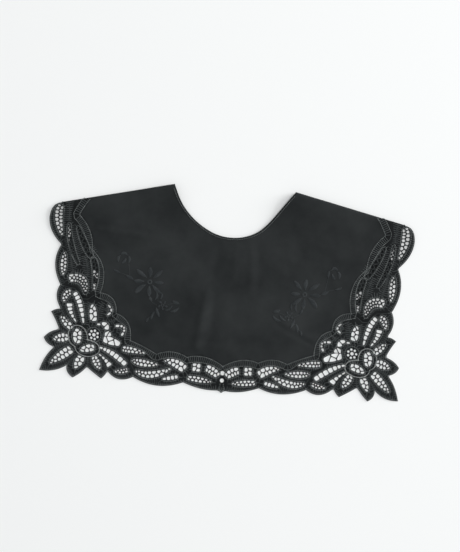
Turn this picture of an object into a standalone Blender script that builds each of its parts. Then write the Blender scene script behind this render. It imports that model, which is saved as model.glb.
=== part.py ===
"""A black cotton tape-lace collar, laid flat with its back half folded under at the shoulders.

The cloth is cut flat, edged with tape lace, folded and laid down in the same order as the real one:
each piece is a flat outline in millimetres, which is filled, folded over the shoulder line, let down
over the layer below and given its wall. x runs out from the centre front and y down from the line
through the two neck points. In the finished model +X is the wearer's left, +Y runs towards the neck
and +Z is up from the table.
"""

import math
import random
from collections import namedtuple

import bmesh
import bpy
from mathutils import Vector
from mathutils.geometry import delaunay_2d_cdt

MM = 0.001

# Cut of the collar
NECK_HALF_WIDTH = 80.5
NECK_DEPTH = 66.0
NECK_FLAT = 40.0
NECK_SIDE = (62.0, 33.0)
SHOULDER_ANGLE = math.radians(12.9)
SHOULDER_TO_SEAM = 112.6
SHOULDER_TO_EDGE = 152.3
BACK_SHOULDER_TO_EDGE = 143.0
CENTRE_BACK_SLIT = 0.6
SLIT_STRIP = 4.0
BACK_DEPTH = 186.0

# Walls and clearances
CLOTH_WALL = 1.0
LACE_WALL = 1.2
BINDING_WALL = 0.7
SEAM_GAP = 0.3
LAYER_GAP = 0.4
BINDING_WIDTH = 3.2

# Shoulder fold: a soft roll that bends round to the layer below
BEND = 3.0
ROLL_LENGTH = 9.5
ROLL_STEPS = 6
LOFT_REACH = 30.0
LET_DOWN_FROM = 2.0
LET_DOWN = 16.0
LOWER_MID = LACE_WALL / 2
UPPER_MID = LACE_WALL + LAYER_GAP + LACE_WALL / 2

# Lace work
BAR = 1.1
GAP_LIMIT = 4.0
CUT_SHARE = 0.45
LOOSENESS = 0.14
LEAST_NARROWNESS = 0.62
RIM_STEPS = 10
RING_POINTS = 8
CURVE_STEP = 5.5
CLOTH_MESH = 13.0
LACE_MESH = 22.0
ROW_HEIGHT = 0.866
RIM_CLEAR = 0.45
FOLD_CLEAR = 0.3
HOLE_CLEAR = 0.2

# How the collar was laid by hand: its outer ends lie a little clockwise of the middle, the neck
# was pulled to the wearer's right, and a few places were dragged by some millimetres
LAID_TURN = 0.02
TURN_MIDDLE = 53.0
TURN_FROM = 40.0
TURN_REACH = 147.0
NECK_PULL = 3.3
PULL_DEPTH = 58.0
PULL_FROM = 70.0
PULL_REACH = 60.0
Drag = namedtuple("Drag", "name place reach by")
DRAGS = [
    Drag("right_corner", (-187.0, 240.0), 36.0, (3.2, 1.0)),
    Drag("left_lower_petals", (176.0, 266.0), 34.0, (5.0, -2.8)),
    Drag("left_hem", (96.0, 266.0), 44.0, (1.2, -3.2)),
    Drag("left_heart", (165.0, 204.0), 36.0, (1.0, -2.4)),
    Drag("right_heart", (-165.0, 204.0), 36.0, (0.0, 2.4)),
]

# Outlines, as curves through three points: from, through, to
Curve = namedtuple("Curve", "name start through end")

OUTER_EDGE = [
    Curve("shoulder_lobe_top", (229.0, 34.0), (239.5, 40.5), (243.5, 55.0)),
    Curve("shoulder_lobe_side", (243.5, 55.0), (238.5, 74.0), (224.5, 91.0)),
    Curve("side_lobe", (224.5, 91.0), (230.8, 118.0), (221.5, 147.0)),
    Curve("upper_loop", (221.5, 147.0), (225.0, 163.0), (218.0, 180.0)),
    Curve("petal_1_out", (218.0, 180.0), (224.5, 181.0), (230.5, 184.5)),
    Curve("petal_1_back", (230.5, 184.5), (223.5, 196.0), (218.5, 207.0)),
    Curve("petal_2_out", (218.5, 207.0), (229.5, 211.5), (237.5, 219.5)),
    Curve("petal_2_back", (237.5, 219.5), (232.5, 226.8), (223.5, 231.0)),
    Curve("petal_3_out", (223.5, 231.0), (233.5, 245.5), (239.8, 263.5)),
    Curve("petal_3_back", (239.8, 263.5), (221.5, 262.0), (206.0, 253.5)),
    Curve("petal_4_out", (206.0, 253.5), (203.8, 262.5), (196.0, 269.3)),
    Curve("petal_4_back", (196.0, 269.3), (187.0, 262.0), (179.5, 253.0)),
    Curve("petal_5_out", (179.5, 253.0), (169.5, 260.0), (157.5, 267.5)),
    Curve("petal_5_back", (157.5, 267.5), (153.0, 262.5), (150.0, 256.5)),
    Curve("lower_loop", (150.0, 256.5), (133.5, 266.5), (115.0, 262.0)),
    Curve("hem_lobe", (115.0, 262.0), (83.0, 270.8), (50.5, 263.5)),
    Curve("centre_lobe", (50.5, 263.5), (27.0, 269.8), (6.0, 270.3)),
    Curve("centre_point", (6.0, 270.3), (2.6, 271.2), (0.0, 273.0)),
]

CLOTH_EDGE = [
    Curve("shoulder_step", (190.3, 25.2), (198.2, 37.0), (204.5, 49.5)),
    Curve("scallop_1", (204.5, 49.5), (189.0, 70.0), (183.5, 96.0)),
    Curve("scallop_2", (183.5, 96.0), (166.8, 121.0), (168.0, 154.0)),
    Curve("upper_scroll", (168.0, 154.0), (150.3, 161.0), (144.5, 179.5)),
    Curve("lower_scroll", (144.5, 179.5), (128.0, 190.5), (123.0, 214.0)),
    Curve("corner_sweep", (123.0, 214.0), (105.5, 221.0), (87.0, 230.0)),
    Curve("scallop_3", (87.0, 230.0), (67.5, 225.0), (47.5, 230.5)),
    Curve("scallop_4", (47.5, 230.5), (24.5, 228.2), (0.0, 238.5)),
]

BACK_OUTER_EDGE = [
    Curve("back_lobe_1", (219.2, 35.2), (219.5, 54.0), (212.5, 72.0)),
    Curve("back_lobe_2", (212.5, 72.0), (214.5, 92.0), (206.5, 111.0)),
    Curve("back_lobe_3", (206.5, 111.0), (191.0, 132.0), (168.0, 144.0)),
    Curve("back_lobe_4", (168.0, 144.0), (150.0, 163.5), (124.0, 173.5)),
    Curve("back_lobe_5", (124.0, 173.5), (102.0, 187.5), (77.0, 184.5)),
    Curve("back_lobe_6", (77.0, 184.5), (55.0, 192.5), (33.0, 186.0)),
    Curve("back_lobe_7", (33.0, 186.0), (19.0, 191.0), (CENTRE_BACK_SLIT, 187.5)),
]

BACK_CLOTH_EDGE = [
    Curve("back_side", (189.6, 28.4), (190.0, 62.0), (181.0, 93.0)),
    Curve("back_corner", (181.0, 93.0), (158.0, 124.0), (118.0, 148.0)),
    Curve("back_hem", (118.0, 148.0), (68.0, 160.5), (CENTRE_BACK_SLIT, 162.0)),
]

# Where the lace border's lengths are joined, from the outer edge in to the cloth
SIDE_TO_CORNER = [
    (211.0, 149.6),
    (201.5, 150.8),
    (196.0, 157.6),
    (190.0, 163.6),
    (183.0, 163.4),
    (176.5, 158.0),
]
CORNER_TO_HEM = [
    (114.4, 253.0),
    (118.8, 245.2),
    (125.0, 238.4),
    (134.2, 232.0),
    (134.8, 223.6),
    (128.5, 218.0),
]

# Fillings: a spine through three points, its half width at each, and how many bars cross it
Filling = namedtuple("Filling", "name start middle end widths lanes rows")

SIDE_FILLINGS = [
    Filling("shoulder_net", (229.4, 38.0), (231.0, 55.8), (224.9, 78.6), (3.8, 5.1, 1.4), 2, 8),
    Filling("side_leaf", (216.4, 61.4), (212.0, 88.6), (199.6, 117.0), (0.9, 2.3, 1.0), 2, 10),
    Filling("scallop_1_net", (204.2, 65.4), (194.8, 86.6), (183.6, 105.0), (1.2, 3.2, 2.8), 2, 6),
    Filling("scallop_2_net", (180.4, 108.0), (175.8, 127.0), (176.2, 150.0), (2.8, 3.2, 1.2), 2, 7),
    Filling("side_lobe_net", (219.4, 101.6), (219.6, 117.6), (219.2, 133.6), (1.0, 4.0, 1.0), 2, 6),
    Filling("fan_net", (187.4, 156.8), (193.0, 139.0), (210.6, 137.6), (1.0, 5.6, 4.6), 3, 8),
]

CORNER_FILLINGS = [
    Filling("upper_ladder", (201.6, 156.4), (192.6, 172.6), (187.0, 195.0), (2.8, 3.0, 1.0), 1, 7),
    Filling("upper_loop_net", (206.8, 156.0), (212.2, 160.0), (215.4, 169.6), (3.4, 3.9, 1.6), 2, 4),
    Filling("upper_tail", (207.2, 171.6), (204.2, 183.2), (196.8, 194.6), (4.0, 2.4, 0.8), 1, 5),
    Filling("petal_1_net", (217.2, 189.6), (209.8, 196.6), (202.4, 204.2), (1.2, 4.5, 2.6), 2, 4),
    Filling("petal_2_net", (225.2, 220.6), (215.4, 217.8), (206.8, 215.4), (1.2, 5.4, 3.4), 2, 4),
    Filling("petal_3_net", (227.0, 253.2), (214.4, 241.8), (202.4, 231.0), (0.8, 5.2, 4.8), 2, 6),
    Filling("petal_4_net", (195.2, 256.4), (191.2, 247.4), (188.4, 239.4), (1.2, 5.3, 4.2), 2, 3),
    Filling("petal_5_net", (161.0, 254.8), (166.4, 246.2), (171.6, 238.0), (1.2, 4.6, 3.2), 2, 4),
    Filling("lower_tail", (164.8, 233.6), (155.0, 241.2), (147.4, 249.6), (0.8, 1.8, 3.8), 1, 4),
    Filling("lower_ladder", (164.0, 224.4), (145.4, 232.2), (126.0, 246.4), (1.0, 3.1, 2.8), 1, 7),
    Filling("lower_loop_net", (122.8, 252.8), (129.6, 255.6), (139.8, 256.6), (2.6, 3.0, 1.2), 2, 4),
    Filling("upper_oval", (192.8, 203.8), (194.8, 212.8), (193.8, 222.2), (3.2, 5.7, 2.8), 2, 3),
    Filling("lower_oval", (171.4, 225.2), (180.6, 227.4), (190.2, 231.2), (3.4, 4.9, 1.8), 2, 3),
    Filling("neck_of_scroll", (176.4, 169.6), (175.0, 179.8), (173.4, 190.4), (1.6, 4.8, 3.8), 2, 3),
    Filling("scroll_bridge", (169.0, 194.2), (166.4, 194.0), (163.8, 194.0), (1.1, 1.2, 1.3), 1, 1),
    Filling("scroll_side", (162.4, 192.6), (156.6, 194.4), (155.6, 200.0), (1.6, 3.0, 3.0), 1, 2),
    Filling("scroll_middle", (154.6, 202.8), (153.4, 205.8), (152.8, 208.8), (3.4, 4.2, 4.8), 2, 1),
    Filling("scroll_foot", (158.8, 212.6), (148.4, 215.2), (136.0, 219.2), (3.6, 5.0, 2.6), 2, 2),
    Filling("upper_scroll_eye", (156.0, 168.2), (150.9, 175.3), (156.0, 181.6), (0.9, 1.5, 0.9), 1, 3),
    Filling("lower_scroll_eye", (143.7, 195.0), (132.3, 196.9), (134.8, 207.6), (1.5, 1.6, 1.5), 1, 5),
]

HEM_FILLINGS = [
    Filling("corner_sweep_net", (131.6, 225.6), (119.6, 226.4), (102.0, 229.4), (3.4, 3.8, 0.9), 2, 6),
    Filling("hem_leaf", (118.4, 239.6), (104.2, 242.4), (84.6, 243.2), (1.2, 4.5, 1.0), 2, 7),
    Filling("hem_lobe_net", (112.0, 253.6), (92.2, 257.0), (67.6, 246.8), (1.4, 4.4, 1.0), 2, 8),
    Filling("scallop_3_net", (76.4, 236.6), (62.4, 239.0), (49.6, 246.0), (0.9, 5.2, 5.0), 2, 5),
    Filling("hem_lobe_eye", (77.0, 261.6), (67.0, 259.2), (57.6, 256.6), (0.9, 2.6, 2.0), 1, 4),
    Filling("pair_of_eyes", (34.4, 237.0), (34.4, 242.2), (34.4, 247.4), (4.9, 4.9, 4.9), 2, 2),
    Filling("centre_lobe_net", (44.8, 257.0), (29.6, 258.2), (13.6, 259.8), (2.6, 3.6, 0.9), 2, 6),
    Filling("heart_side", (21.6, 242.0), (13.2, 245.2), (5.4, 250.8), (4.3, 5.3, 3.6), 2, 4),
]

BACK_FILLINGS = [
    Filling("back_net_1", (211.5, 46.0), (210.5, 56.0), (206.5, 68.0), (2.0, 3.6, 2.0), 1, 4),
    Filling("back_net_2", (205.0, 84.0), (204.5, 94.0), (199.5, 104.0), (2.0, 3.6, 2.0), 1, 4),
    Filling("back_net_3", (186.0, 120.0), (176.0, 129.0), (164.0, 135.5), (2.0, 3.6, 2.0), 1, 4),
    Filling("back_net_4", (150.0, 149.0), (138.0, 158.0), (124.0, 164.0), (2.0, 3.6, 2.0), 1, 4),
    Filling("back_net_5", (108.0, 171.0), (94.0, 174.5), (80.0, 175.5), (2.0, 3.6, 2.0), 1, 4),
    Filling("back_net_6", (64.0, 176.5), (51.0, 178.5), (38.0, 177.5), (2.0, 3.6, 2.0), 1, 4),
]

# Round work, and single openings on the centre front: a middle and a radius across and down
Eyelet = namedtuple("Eyelet", "name middle radius")

HUB_MIDDLE = (172.4, 208.2)
HUB_EYE = Eyelet("hub_eye", HUB_MIDDLE, (2.4, 2.4))
HUB_RING_EYE = 1.7
HUB_RING_RADIUS = 5.6
HUB_RING_EYES = 7
CENTRE_EYES = [
    Eyelet("heart", (0.0, 246.8), (3.1, 3.0)),
    Eyelet("heart_foot", (0.0, 256.6), (2.7, 2.9)),
]

# Loft of the shoulder fold: distance out along the shoulder, height above the lower layer
Loft = namedtuple("Loft", "out height")
SHOULDER_LOFT = [Loft(0.0, 7.0), Loft(55.0, 5.0), Loft(112.0, 3.2), Loft(160.0, 2.4)]

# Soft swells of the front, left and right as laid: from, to, half width and height
Swell = namedtuple("Swell", "name start end reach height")
SWELLS = [
    Swell("left_pleat", (-37.0, 148.0), (-34.0, 212.0), 15.0, 1.6),
    Swell("right_roll", (64.0, 168.0), (118.0, 198.0), 17.0, 1.5),
    Swell("left_roll", (-188.0, 60.0), (-112.0, 72.0), 17.0, 1.6),
    Swell("neck_swell", (18.0, 92.0), (34.0, 168.0), 20.0, 1.4),
]


def smooth(t):
    """0 below 0 and 1 above 1, with a soft start and end."""
    t = max(0.0, min(1.0, t))
    return t * t * (3 - 2 * t)


def on_fold(along, inside):
    """The point that far out along the shoulder from the neck point, and that far inside the fold."""
    c, s = math.cos(SHOULDER_ANGLE), math.sin(SHOULDER_ANGLE)
    return (NECK_HALF_WIDTH + along * c - inside * s, along * s + inside * c)


def fold_place(x, y):
    """How far out along the shoulder a point is, and how far inside the fold."""
    c, s = math.cos(SHOULDER_ANGLE), math.sin(SHOULDER_ANGLE)
    px, py = abs(x) - NECK_HALF_WIDTH, y
    return px * c + py * s, py * c - px * s


def through(curve, step):
    """Points along a curve, without its last one."""
    (ax, ay), (mx, my), (bx, by) = curve.start, curve.through, curve.end
    cx, cy = 2 * mx - (ax + bx) / 2, 2 * my - (ay + by) / 2
    length = math.dist(curve.start, curve.through) + math.dist(curve.through, curve.end)
    count = max(2, round(length / step))
    points = []
    for i in range(count):
        t = i / count
        a, b, c = (1 - t) ** 2, 2 * t * (1 - t), t * t
        points.append((a * ax + b * cx + c * bx, a * ay + b * cy + c * by))
    return points


def edge_line(curves, step=CURVE_STEP):
    """All the points of a row of curves, end included."""
    points = [p for curve in curves for p in through(curve, step)]
    return points + [curves[-1].end]


def neck_line(shift=0.0, count=12):
    """The neck edge from the centre front up to the neck point, moved in by shift."""
    corners = [
        (0.0, NECK_DEPTH + shift),
        (NECK_FLAT, NECK_DEPTH + shift),
        (NECK_SIDE[0] + shift, NECK_SIDE[1] + shift / 2),
        (NECK_HALF_WIDTH + shift, 0.0),
    ]
    points = []
    for i in range(count + 1):
        t = i / count
        w = ((1 - t) ** 3, 3 * t * (1 - t) ** 2, 3 * t * t * (1 - t), t**3)
        points.append(tuple(sum(k * c[axis] for k, c in zip(w, corners)) for axis in (0, 1)))
    return points


def moved_out(line, distance):
    """An open line moved sideways, to the left of its direction when x is right and y is down."""
    moved = []
    for i, (x, y) in enumerate(line):
        ax, ay = line[max(i - 1, 0)]
        bx, by = line[min(i + 1, len(line) - 1)]
        length = math.hypot(bx - ax, by - ay)
        moved.append((x + distance * (by - ay) / length, y - distance * (bx - ax) / length))
    return moved


def mirrored(points):
    """The same outline on the other half of the collar, running the same way round."""
    return [(-x, y) for x, y in reversed(points)]


def past_fold(along):
    """The edge of a front piece round the shoulder roll, from the table up."""
    last = BEND - ROLL_LENGTH
    return [on_fold(along, last + ROLL_LENGTH * i / ROLL_STEPS) for i in range(ROLL_STEPS - 2)]


def along_filling(filling, t, across):
    """The point that far along a filling's spine, from 0 to 1, and across it, from -1 to 1."""
    (ax, ay), (mx, my), (bx, by) = filling.start, filling.middle, filling.end
    cx, cy = 2 * mx - (ax + bx) / 2, 2 * my - (ay + by) / 2
    x = (1 - t) ** 2 * ax + 2 * t * (1 - t) * cx + t * t * bx
    y = (1 - t) ** 2 * ay + 2 * t * (1 - t) * cy + t * t * by
    dx, dy = 2 * (1 - t) * (cx - ax) + 2 * t * (bx - cx), 2 * (1 - t) * (cy - ay) + 2 * t * (by - cy)
    first, middle, last = filling.widths
    width = (1 - t) * (1 - 2 * t) * first + 4 * t * (1 - t) * middle + t * (2 * t - 1) * last
    length = math.hypot(dx, dy)
    return (x - dy / length * width * across, y + dx / length * width * across)


def filling_rim(filling):
    """The space between the tapes that a filling spans, as a ring."""
    places = [i / RIM_STEPS for i in range(RIM_STEPS + 1)]
    near, far = ([along_filling(filling, t, side) for t in places] for side in (-1.0, 1.0))
    return near + far[::-1]


def cells(filling):
    """The openings of one filling, each a ring of points: loosely staggered, with a bar between any two."""
    chance = random.Random(filling.name)
    middles = []
    for lane in range(filling.lanes):
        stagger = (lane % 2 - 0.5) / 2 if filling.lanes > 1 else 0.0
        for row in range(filling.rows):
            t = (row + 0.5 + stagger + chance.uniform(-LOOSENESS, LOOSENESS)) / filling.rows
            across_it = (2 * lane + 1 + chance.uniform(-LOOSENESS, LOOSENESS)) / filling.lanes - 1
            middles.append(along_filling(filling, t, across_it))
    found = []
    for here in middles:
        ring = filling_rim(filling)
        for other in middles:
            if other != here:
                ring = kept_side(ring, here, other)
        if len(ring) > 2 and narrowness(ring) > LEAST_NARROWNESS:
            found.append(evened(ring))
    return found


def kept_side(ring, here, other):
    """The part of a ring that is nearer here than the other point, less half a bar."""
    (hx, hy), (ox, oy) = here, other
    apart = math.dist(here, other)
    wx, wy = (hx - ox) / apart, (hy - oy) / apart
    level = wx * (hx + ox) / 2 + wy * (hy + oy) / 2 + BAR / 2
    kept = []
    for i, (bx, by) in enumerate(ring):
        ax, ay = ring[i - 1]
        a, b = wx * ax + wy * ay - level, wx * bx + wy * by - level
        if (a < 0) != (b < 0):
            kept.append((ax + (bx - ax) * a / (a - b), ay + (by - ay) * a / (a - b)))
        if b >= 0:
            kept.append((bx, by))
    return kept


def narrowness(ring):
    """A ring's area over half its length, which is about half its width."""
    sides = [(ring[i - 1], ring[i]) for i in range(len(ring))]
    area = abs(sum(ax * by - bx * ay for (ax, ay), (bx, by) in sides)) / 2
    return 2 * area / max(sum(math.dist(a, b) for a, b in sides), 1e-6)


def evened(ring):
    """A ring as evenly spaced points, which takes off its corners as thread does."""
    sides = [(ring[i - 1], ring[i]) for i in range(len(ring))]
    step = sum(math.dist(a, b) for a, b in sides) / RING_POINTS
    points, left = [], step / 2
    for (ax, ay), (bx, by) in sides:
        length = math.dist((ax, ay), (bx, by))
        while left < length:
            points.append((ax + (bx - ax) * left / length, ay + (by - ay) * left / length))
            left += step
        left -= length
    return points


def eyelet_ring(eyelet, count=8):
    """An eyelet's edge."""
    (x, y), (rx, ry) = eyelet.middle, eyelet.radius
    turns = [2 * math.pi * (i + 0.5) / count for i in range(count)]
    return [(x + rx * math.cos(a), y + ry * math.sin(a)) for a in turns]


def hub_rings():
    """The round eyes of the corner flower's hub: one in the middle and a ring about it."""
    eyes = [HUB_EYE]
    for i in range(HUB_RING_EYES):
        a = 2 * math.pi * i / HUB_RING_EYES
        x, y = HUB_MIDDLE[0] + HUB_RING_RADIUS * math.cos(a), HUB_MIDDLE[1] + HUB_RING_RADIUS * math.sin(a)
        eyes.append(Eyelet(f"hub_ring_{i}", (x, y), (HUB_RING_EYE, HUB_RING_EYE)))
    return [eyelet_ring(eye) for eye in eyes]


def across(ring):
    """A ring's greatest width."""
    return max((math.dist(a, b) for a in ring for b in ring), default=0.0)


def openings(fillings):
    """The openings to cut through: the largest of each filling, and none that is too small."""
    cut = []
    for filling in fillings:
        rings = sorted((ring for ring in cells(filling) if across(ring) > GAP_LIMIT), key=across)
        cut += rings[len(rings) - math.ceil(CUT_SHARE * len(rings)) :]
    return cut


def inside(point, ring):
    """True if a point lies within a closed ring."""
    x, y = point
    within = False
    for (ax, ay), (bx, by) in zip(ring, ring[1:] + ring[:1]):
        if (ay > y) != (by > y) and x < ax + (y - ay) * (bx - ax) / (by - ay):
            within = not within
    return within


def distance_to(point, line):
    """The distance from a point to a line of points."""
    p, best = Vector(point), 1e9
    for a, b in zip(line, line[1:]):
        a, b = Vector(a), Vector(b)
        span = b - a
        t = max(0.0, min(1.0, (p - a).dot(span) / max(span.length_squared, 1e-9)))
        best = min(best, (p - a - span * t).length)
    return best


def back_outline():
    """The folded-under back of one side, cloth and lace together."""
    top_in, top_out = on_fold(0.0, BEND), on_fold(BACK_SHOULDER_TO_EDGE, BEND)
    neck = [p for p in neck_line() if p[0] > CENTRE_BACK_SLIT and fold_place(*p)[1] > BEND]
    return neck + [top_in, top_out] + edge_line(BACK_OUTER_EDGE)[1:]


BACK_OUTLINE = back_outline()


def over_back(x, y):
    """1 where the front lies on the back, 0 where it has come down to the table."""
    point = (abs(x), y)
    if inside(point, BACK_OUTLINE) or abs(x) < SLIT_STRIP and y < BACK_DEPTH:
        return 1.0
    gap = distance_to(point, BACK_OUTLINE + BACK_OUTLINE[:1])
    return 1.0 - smooth((gap - LET_DOWN_FROM) / LET_DOWN)


def shoulder_loft(along):
    """How high the fold stands, that far out along the shoulder."""
    along = max(along, SHOULDER_LOFT[0].out)
    for a, b in zip(SHOULDER_LOFT, SHOULDER_LOFT[1:]):
        if along <= b.out:
            return a.height + (b.height - a.height) * (along - a.out) / (b.out - a.out)
    return SHOULDER_LOFT[-1].height


def front_height(x, y):
    """The height of the middle of the front's wall."""
    along, inner = fold_place(x, y)
    height = LOWER_MID + (UPPER_MID - LOWER_MID) * over_back(x, y)
    height += shoulder_loft(along) * math.exp(-((max(inner, 0.0) / LOFT_REACH) ** 2))
    for swell in SWELLS:
        gap = distance_to((x, y), [swell.start, swell.end])
        height += swell.height * math.exp(-((gap / swell.reach) ** 2))
    return height


def laid(x, y):
    """Where a point of the folded collar came to lie when it was put down."""
    ends, lower = smooth(abs(x) / TURN_REACH), smooth((y - TURN_FROM) / TURN_REACH)
    pull = math.sin(math.pi * max(0.0, min(1.0, y / PULL_DEPTH)))
    pull *= 1 - smooth((abs(x) - PULL_FROM) / PULL_REACH)
    px = x - LAID_TURN * (y - TURN_MIDDLE) * ends - NECK_PULL * pull
    py = y + LAID_TURN * x * lower
    for drag in DRAGS:
        near = math.exp(-((math.dist((x, y), drag.place) / drag.reach) ** 2))
        px, py = px + drag.by[0] * near, py + drag.by[1] * near
    return px, py


def lie_on_top(x, y):
    """A point of a front piece, folded over at the shoulder and let down on what is below."""
    along, inner = fold_place(x, y)
    side = -1.0 if x < 0 else 1.0
    if inner >= BEND or abs(x) < NECK_HALF_WIDTH / 2:
        height, (px, py) = front_height(x, y), laid(x, y)
        return Vector((px, -py, height))
    tx, ty = on_fold(along, BEND)
    top = front_height(side * tx, ty)
    turn = math.pi * min(1.0, (BEND - inner) / ROLL_LENGTH)
    fx, fy = on_fold(along, BEND - BEND * math.sin(turn))
    px, py = laid(side * fx, fy)
    return Vector((px, -py, (top + LOWER_MID) / 2 + (top - LOWER_MID) / 2 * math.cos(turn)))


def lie_below(x, y):
    """A point of a back piece, flat on the table."""
    px, py = laid(x, y)
    return Vector((px, -py, LOWER_MID))


def roll_creases(sides, start, end):
    """Lines along the shoulder roll, where the wall bends, between two places out along it."""
    lines = []
    for side in sides:
        for i in range(1, ROLL_STEPS + 1):
            inner = BEND - ROLL_LENGTH + ROLL_LENGTH * i / ROLL_STEPS
            ends = [on_fold(along, inner) for along in (start, (start + end) / 2, end)]
            lines.append([(side * x, y) for x, y in ends])
    return lines


def filled(outline, holes, creases, spacing):
    """Points and triangles of a flat piece with holes, with loose points inside it to bend at."""
    points, edges = [], []
    for ring in [outline, *holes]:
        first = len(points)
        points += [Vector((x, -y)) for x, y in ring]
        edges += [(first + i, first + (i + 1) % len(ring)) for i in range(len(ring))]
    for line in creases:
        edges += [(len(points) + i, len(points) + i + 1) for i in range(len(line) - 1)]
        points += [Vector((x, -y)) for x, y in line]
    rim = outline + outline[:1]
    xs, ys = [p[0] for p in outline], [p[1] for p in outline]
    rows = int((max(ys) - min(ys)) / (spacing * ROW_HEIGHT)) + 1
    columns = int((max(xs) - min(xs)) / spacing) + 2
    for row in range(rows):
        for column in range(columns):
            spot = (min(xs) + spacing * (column + row % 2 / 2), min(ys) + spacing * ROW_HEIGHT * (row + 0.5))
            if not inside(spot, outline) or distance_to(spot, rim) < spacing * RIM_CLEAR:
                continue
            if fold_place(*spot)[1] < BEND + spacing * FOLD_CLEAR and creases:
                continue
            clear = spacing * HOLE_CLEAR
            if all(distance_to(spot, hole + hole[:1]) > clear and not inside(spot, hole) for hole in holes):
                points.append(Vector((spot[0], -spot[1])))
    made, _, faces, _, _, _ = delaunay_2d_cdt(points, edges, [], 0, 1e-4)
    kept = []
    for face in faces:
        middle = sum((made[i] for i in face), Vector((0.0, 0.0))) / 3
        spot = (middle.x, -middle.y)
        if inside(spot, outline) and not any(inside(spot, hole) for hole in holes):
            kept.append(face)
    return made, kept


def cloth_piece(name, outline, lie, wall, colour, holes=(), creases=(), spacing=CLOTH_MESH, lift=0.0):
    """One flat-cut piece, laid in place and given its wall. It may lie on another, lifted off it."""
    flat, faces = filled(outline, list(holes), list(creases), spacing)
    mesh = bpy.data.meshes.new(name)
    mesh.from_pydata([lie(p.x, -p.y) * MM for p in flat], [], faces)
    shape = bmesh.new()
    shape.from_mesh(mesh)
    bmesh.ops.delete(shape, geom=[v for v in shape.verts if not v.link_faces], context="VERTS")
    if lift:
        shape.normal_update()
        for vert, normal in [(v, v.normal.copy()) for v in shape.verts]:
            vert.co += normal * lift * MM
    shape.to_mesh(mesh)
    shape.free()
    mesh.shade_smooth()
    piece = bpy.data.objects.new(name, mesh)
    collar.objects.link(piece)
    solid = piece.modifiers.new("wall", "SOLIDIFY")
    solid.thickness = wall * MM
    solid.offset = 0.0
    mesh.materials.append(fabric(name, colour))


def fabric(name, colour):
    """A plain cotton material."""
    material = bpy.data.materials.new(name)
    material.use_nodes = True
    shader = material.node_tree.nodes["Principled BSDF"]
    shader.inputs["Base Color"].default_value = (*colour, 1.0)
    shader.inputs["Roughness"].default_value = 0.85
    return material


CLOTH_COLOUR = (0.018, 0.020, 0.022)
LACE_COLOUR = (0.014, 0.016, 0.017)
TRIM_COLOUR = (0.022, 0.024, 0.026)


def neck_band():
    """The neck edge from shoulder to shoulder, short of the fold, and the line of the binding's stitches."""
    half = [p for p in neck_line() if fold_place(*p)[1] > BEND + 1.0]
    edge = [(-x, y) for x, y in half[:0:-1]] + half
    return moved_out(edge, -0.2), moved_out(edge, -BINDING_WIDTH)


def front_panel():
    """The cotton front, whose neck and scalloped edge were cut in one piece."""
    half = neck_line() + past_fold(0.0)[::-1] + past_fold(SHOULDER_TO_SEAM) + edge_line(CLOTH_EDGE)
    outline = half + mirrored(half)[1:-1]
    creases = roll_creases((1, -1), 2.0, SHOULDER_TO_SEAM - 2.0) + [neck_band()[1]]
    cloth_piece("front_panel", outline, lie_on_top, CLOTH_WALL, CLOTH_COLOUR, creases=creases)


def back_panel(name, side):
    """Half of the cotton back, from the slit at the centre back to the lace."""
    neck = [p for p in neck_line() if p[0] > CENTRE_BACK_SLIT and fold_place(*p)[1] > BEND + 1]
    start = BEND + SEAM_GAP
    half = [(CENTRE_BACK_SLIT, neck[0][1])] + neck + [on_fold(0.0, start), on_fold(SHOULDER_TO_SEAM, start)]
    half += edge_line(BACK_CLOTH_EDGE)[1:]
    outline = half if side > 0 else mirrored(half)
    cloth_piece(name, outline, lie_below, CLOTH_WALL, CLOTH_COLOUR, spacing=30.0)


def back_lace(name, side):
    """The plain lace border of half the back."""
    start = BEND + SEAM_GAP
    seam = moved_out(edge_line(BACK_CLOTH_EDGE)[1:], SEAM_GAP)
    outer = edge_line(BACK_OUTER_EDGE)[1:]
    half = [on_fold(SHOULDER_TO_SEAM + SEAM_GAP, start), on_fold(BACK_SHOULDER_TO_EDGE, start)]
    half += outer + seam[::-1]
    holes = openings(BACK_FILLINGS)
    outline = half if side > 0 else mirrored(half)
    if side < 0:
        holes = [mirrored(ring) for ring in holes]
    cloth_piece(name, outline, lie_below, LACE_WALL, LACE_COLOUR, holes=holes, spacing=60.0)


def part_of(line, start, end):
    """The stretch of a line between two of its points."""
    nearest = [min(range(len(line)), key=lambda i: math.dist(line[i], spot)) for spot in (start, end)]
    return line[nearest[0] : nearest[1] + 1]


def lace_half(section):
    """The right-hand outline of a length of the front's lace border, with its openings."""
    outer, seam = edge_line(OUTER_EDGE), moved_out(edge_line(CLOTH_EDGE), SEAM_GAP)
    loop_start, hem_start = (221.5, 147.0), (115.0, 262.0)
    scroll_start, sweep_start = (168.0, 154.0), (123.0, 214.0)
    upper = [loop_start, *SIDE_TO_CORNER, scroll_start]
    lower = [hem_start, *CORNER_TO_HEM, sweep_start]
    half_gap = SEAM_GAP / 2
    if section == "side":
        top = past_fold(SHOULDER_TO_EDGE)
        rim = top + part_of(outer, outer[0], loop_start)[:-1]
        cut = moved_out(upper, -half_gap)
        inner = part_of(seam, seam[0], scroll_start)[:-1][::-1]
        outline = rim + cut + inner + past_fold(SHOULDER_TO_SEAM + SEAM_GAP)[::-1]
        return outline, openings(SIDE_FILLINGS)
    if section == "corner":
        rim = part_of(outer, loop_start, hem_start)[1:-1]
        cut = moved_out(upper, half_gap)[::-1] + rim + moved_out(lower, -half_gap)
        inner = part_of(seam, scroll_start, sweep_start)[1:-1][::-1]
        return cut + inner, openings(CORNER_FILLINGS) + hub_rings()
    rim = part_of(outer, hem_start, outer[-1])[1:]
    inner = part_of(seam, sweep_start, seam[-1])[1:][::-1]
    return inner + moved_out(lower, half_gap)[::-1] + rim, openings(HEM_FILLINGS)


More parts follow.
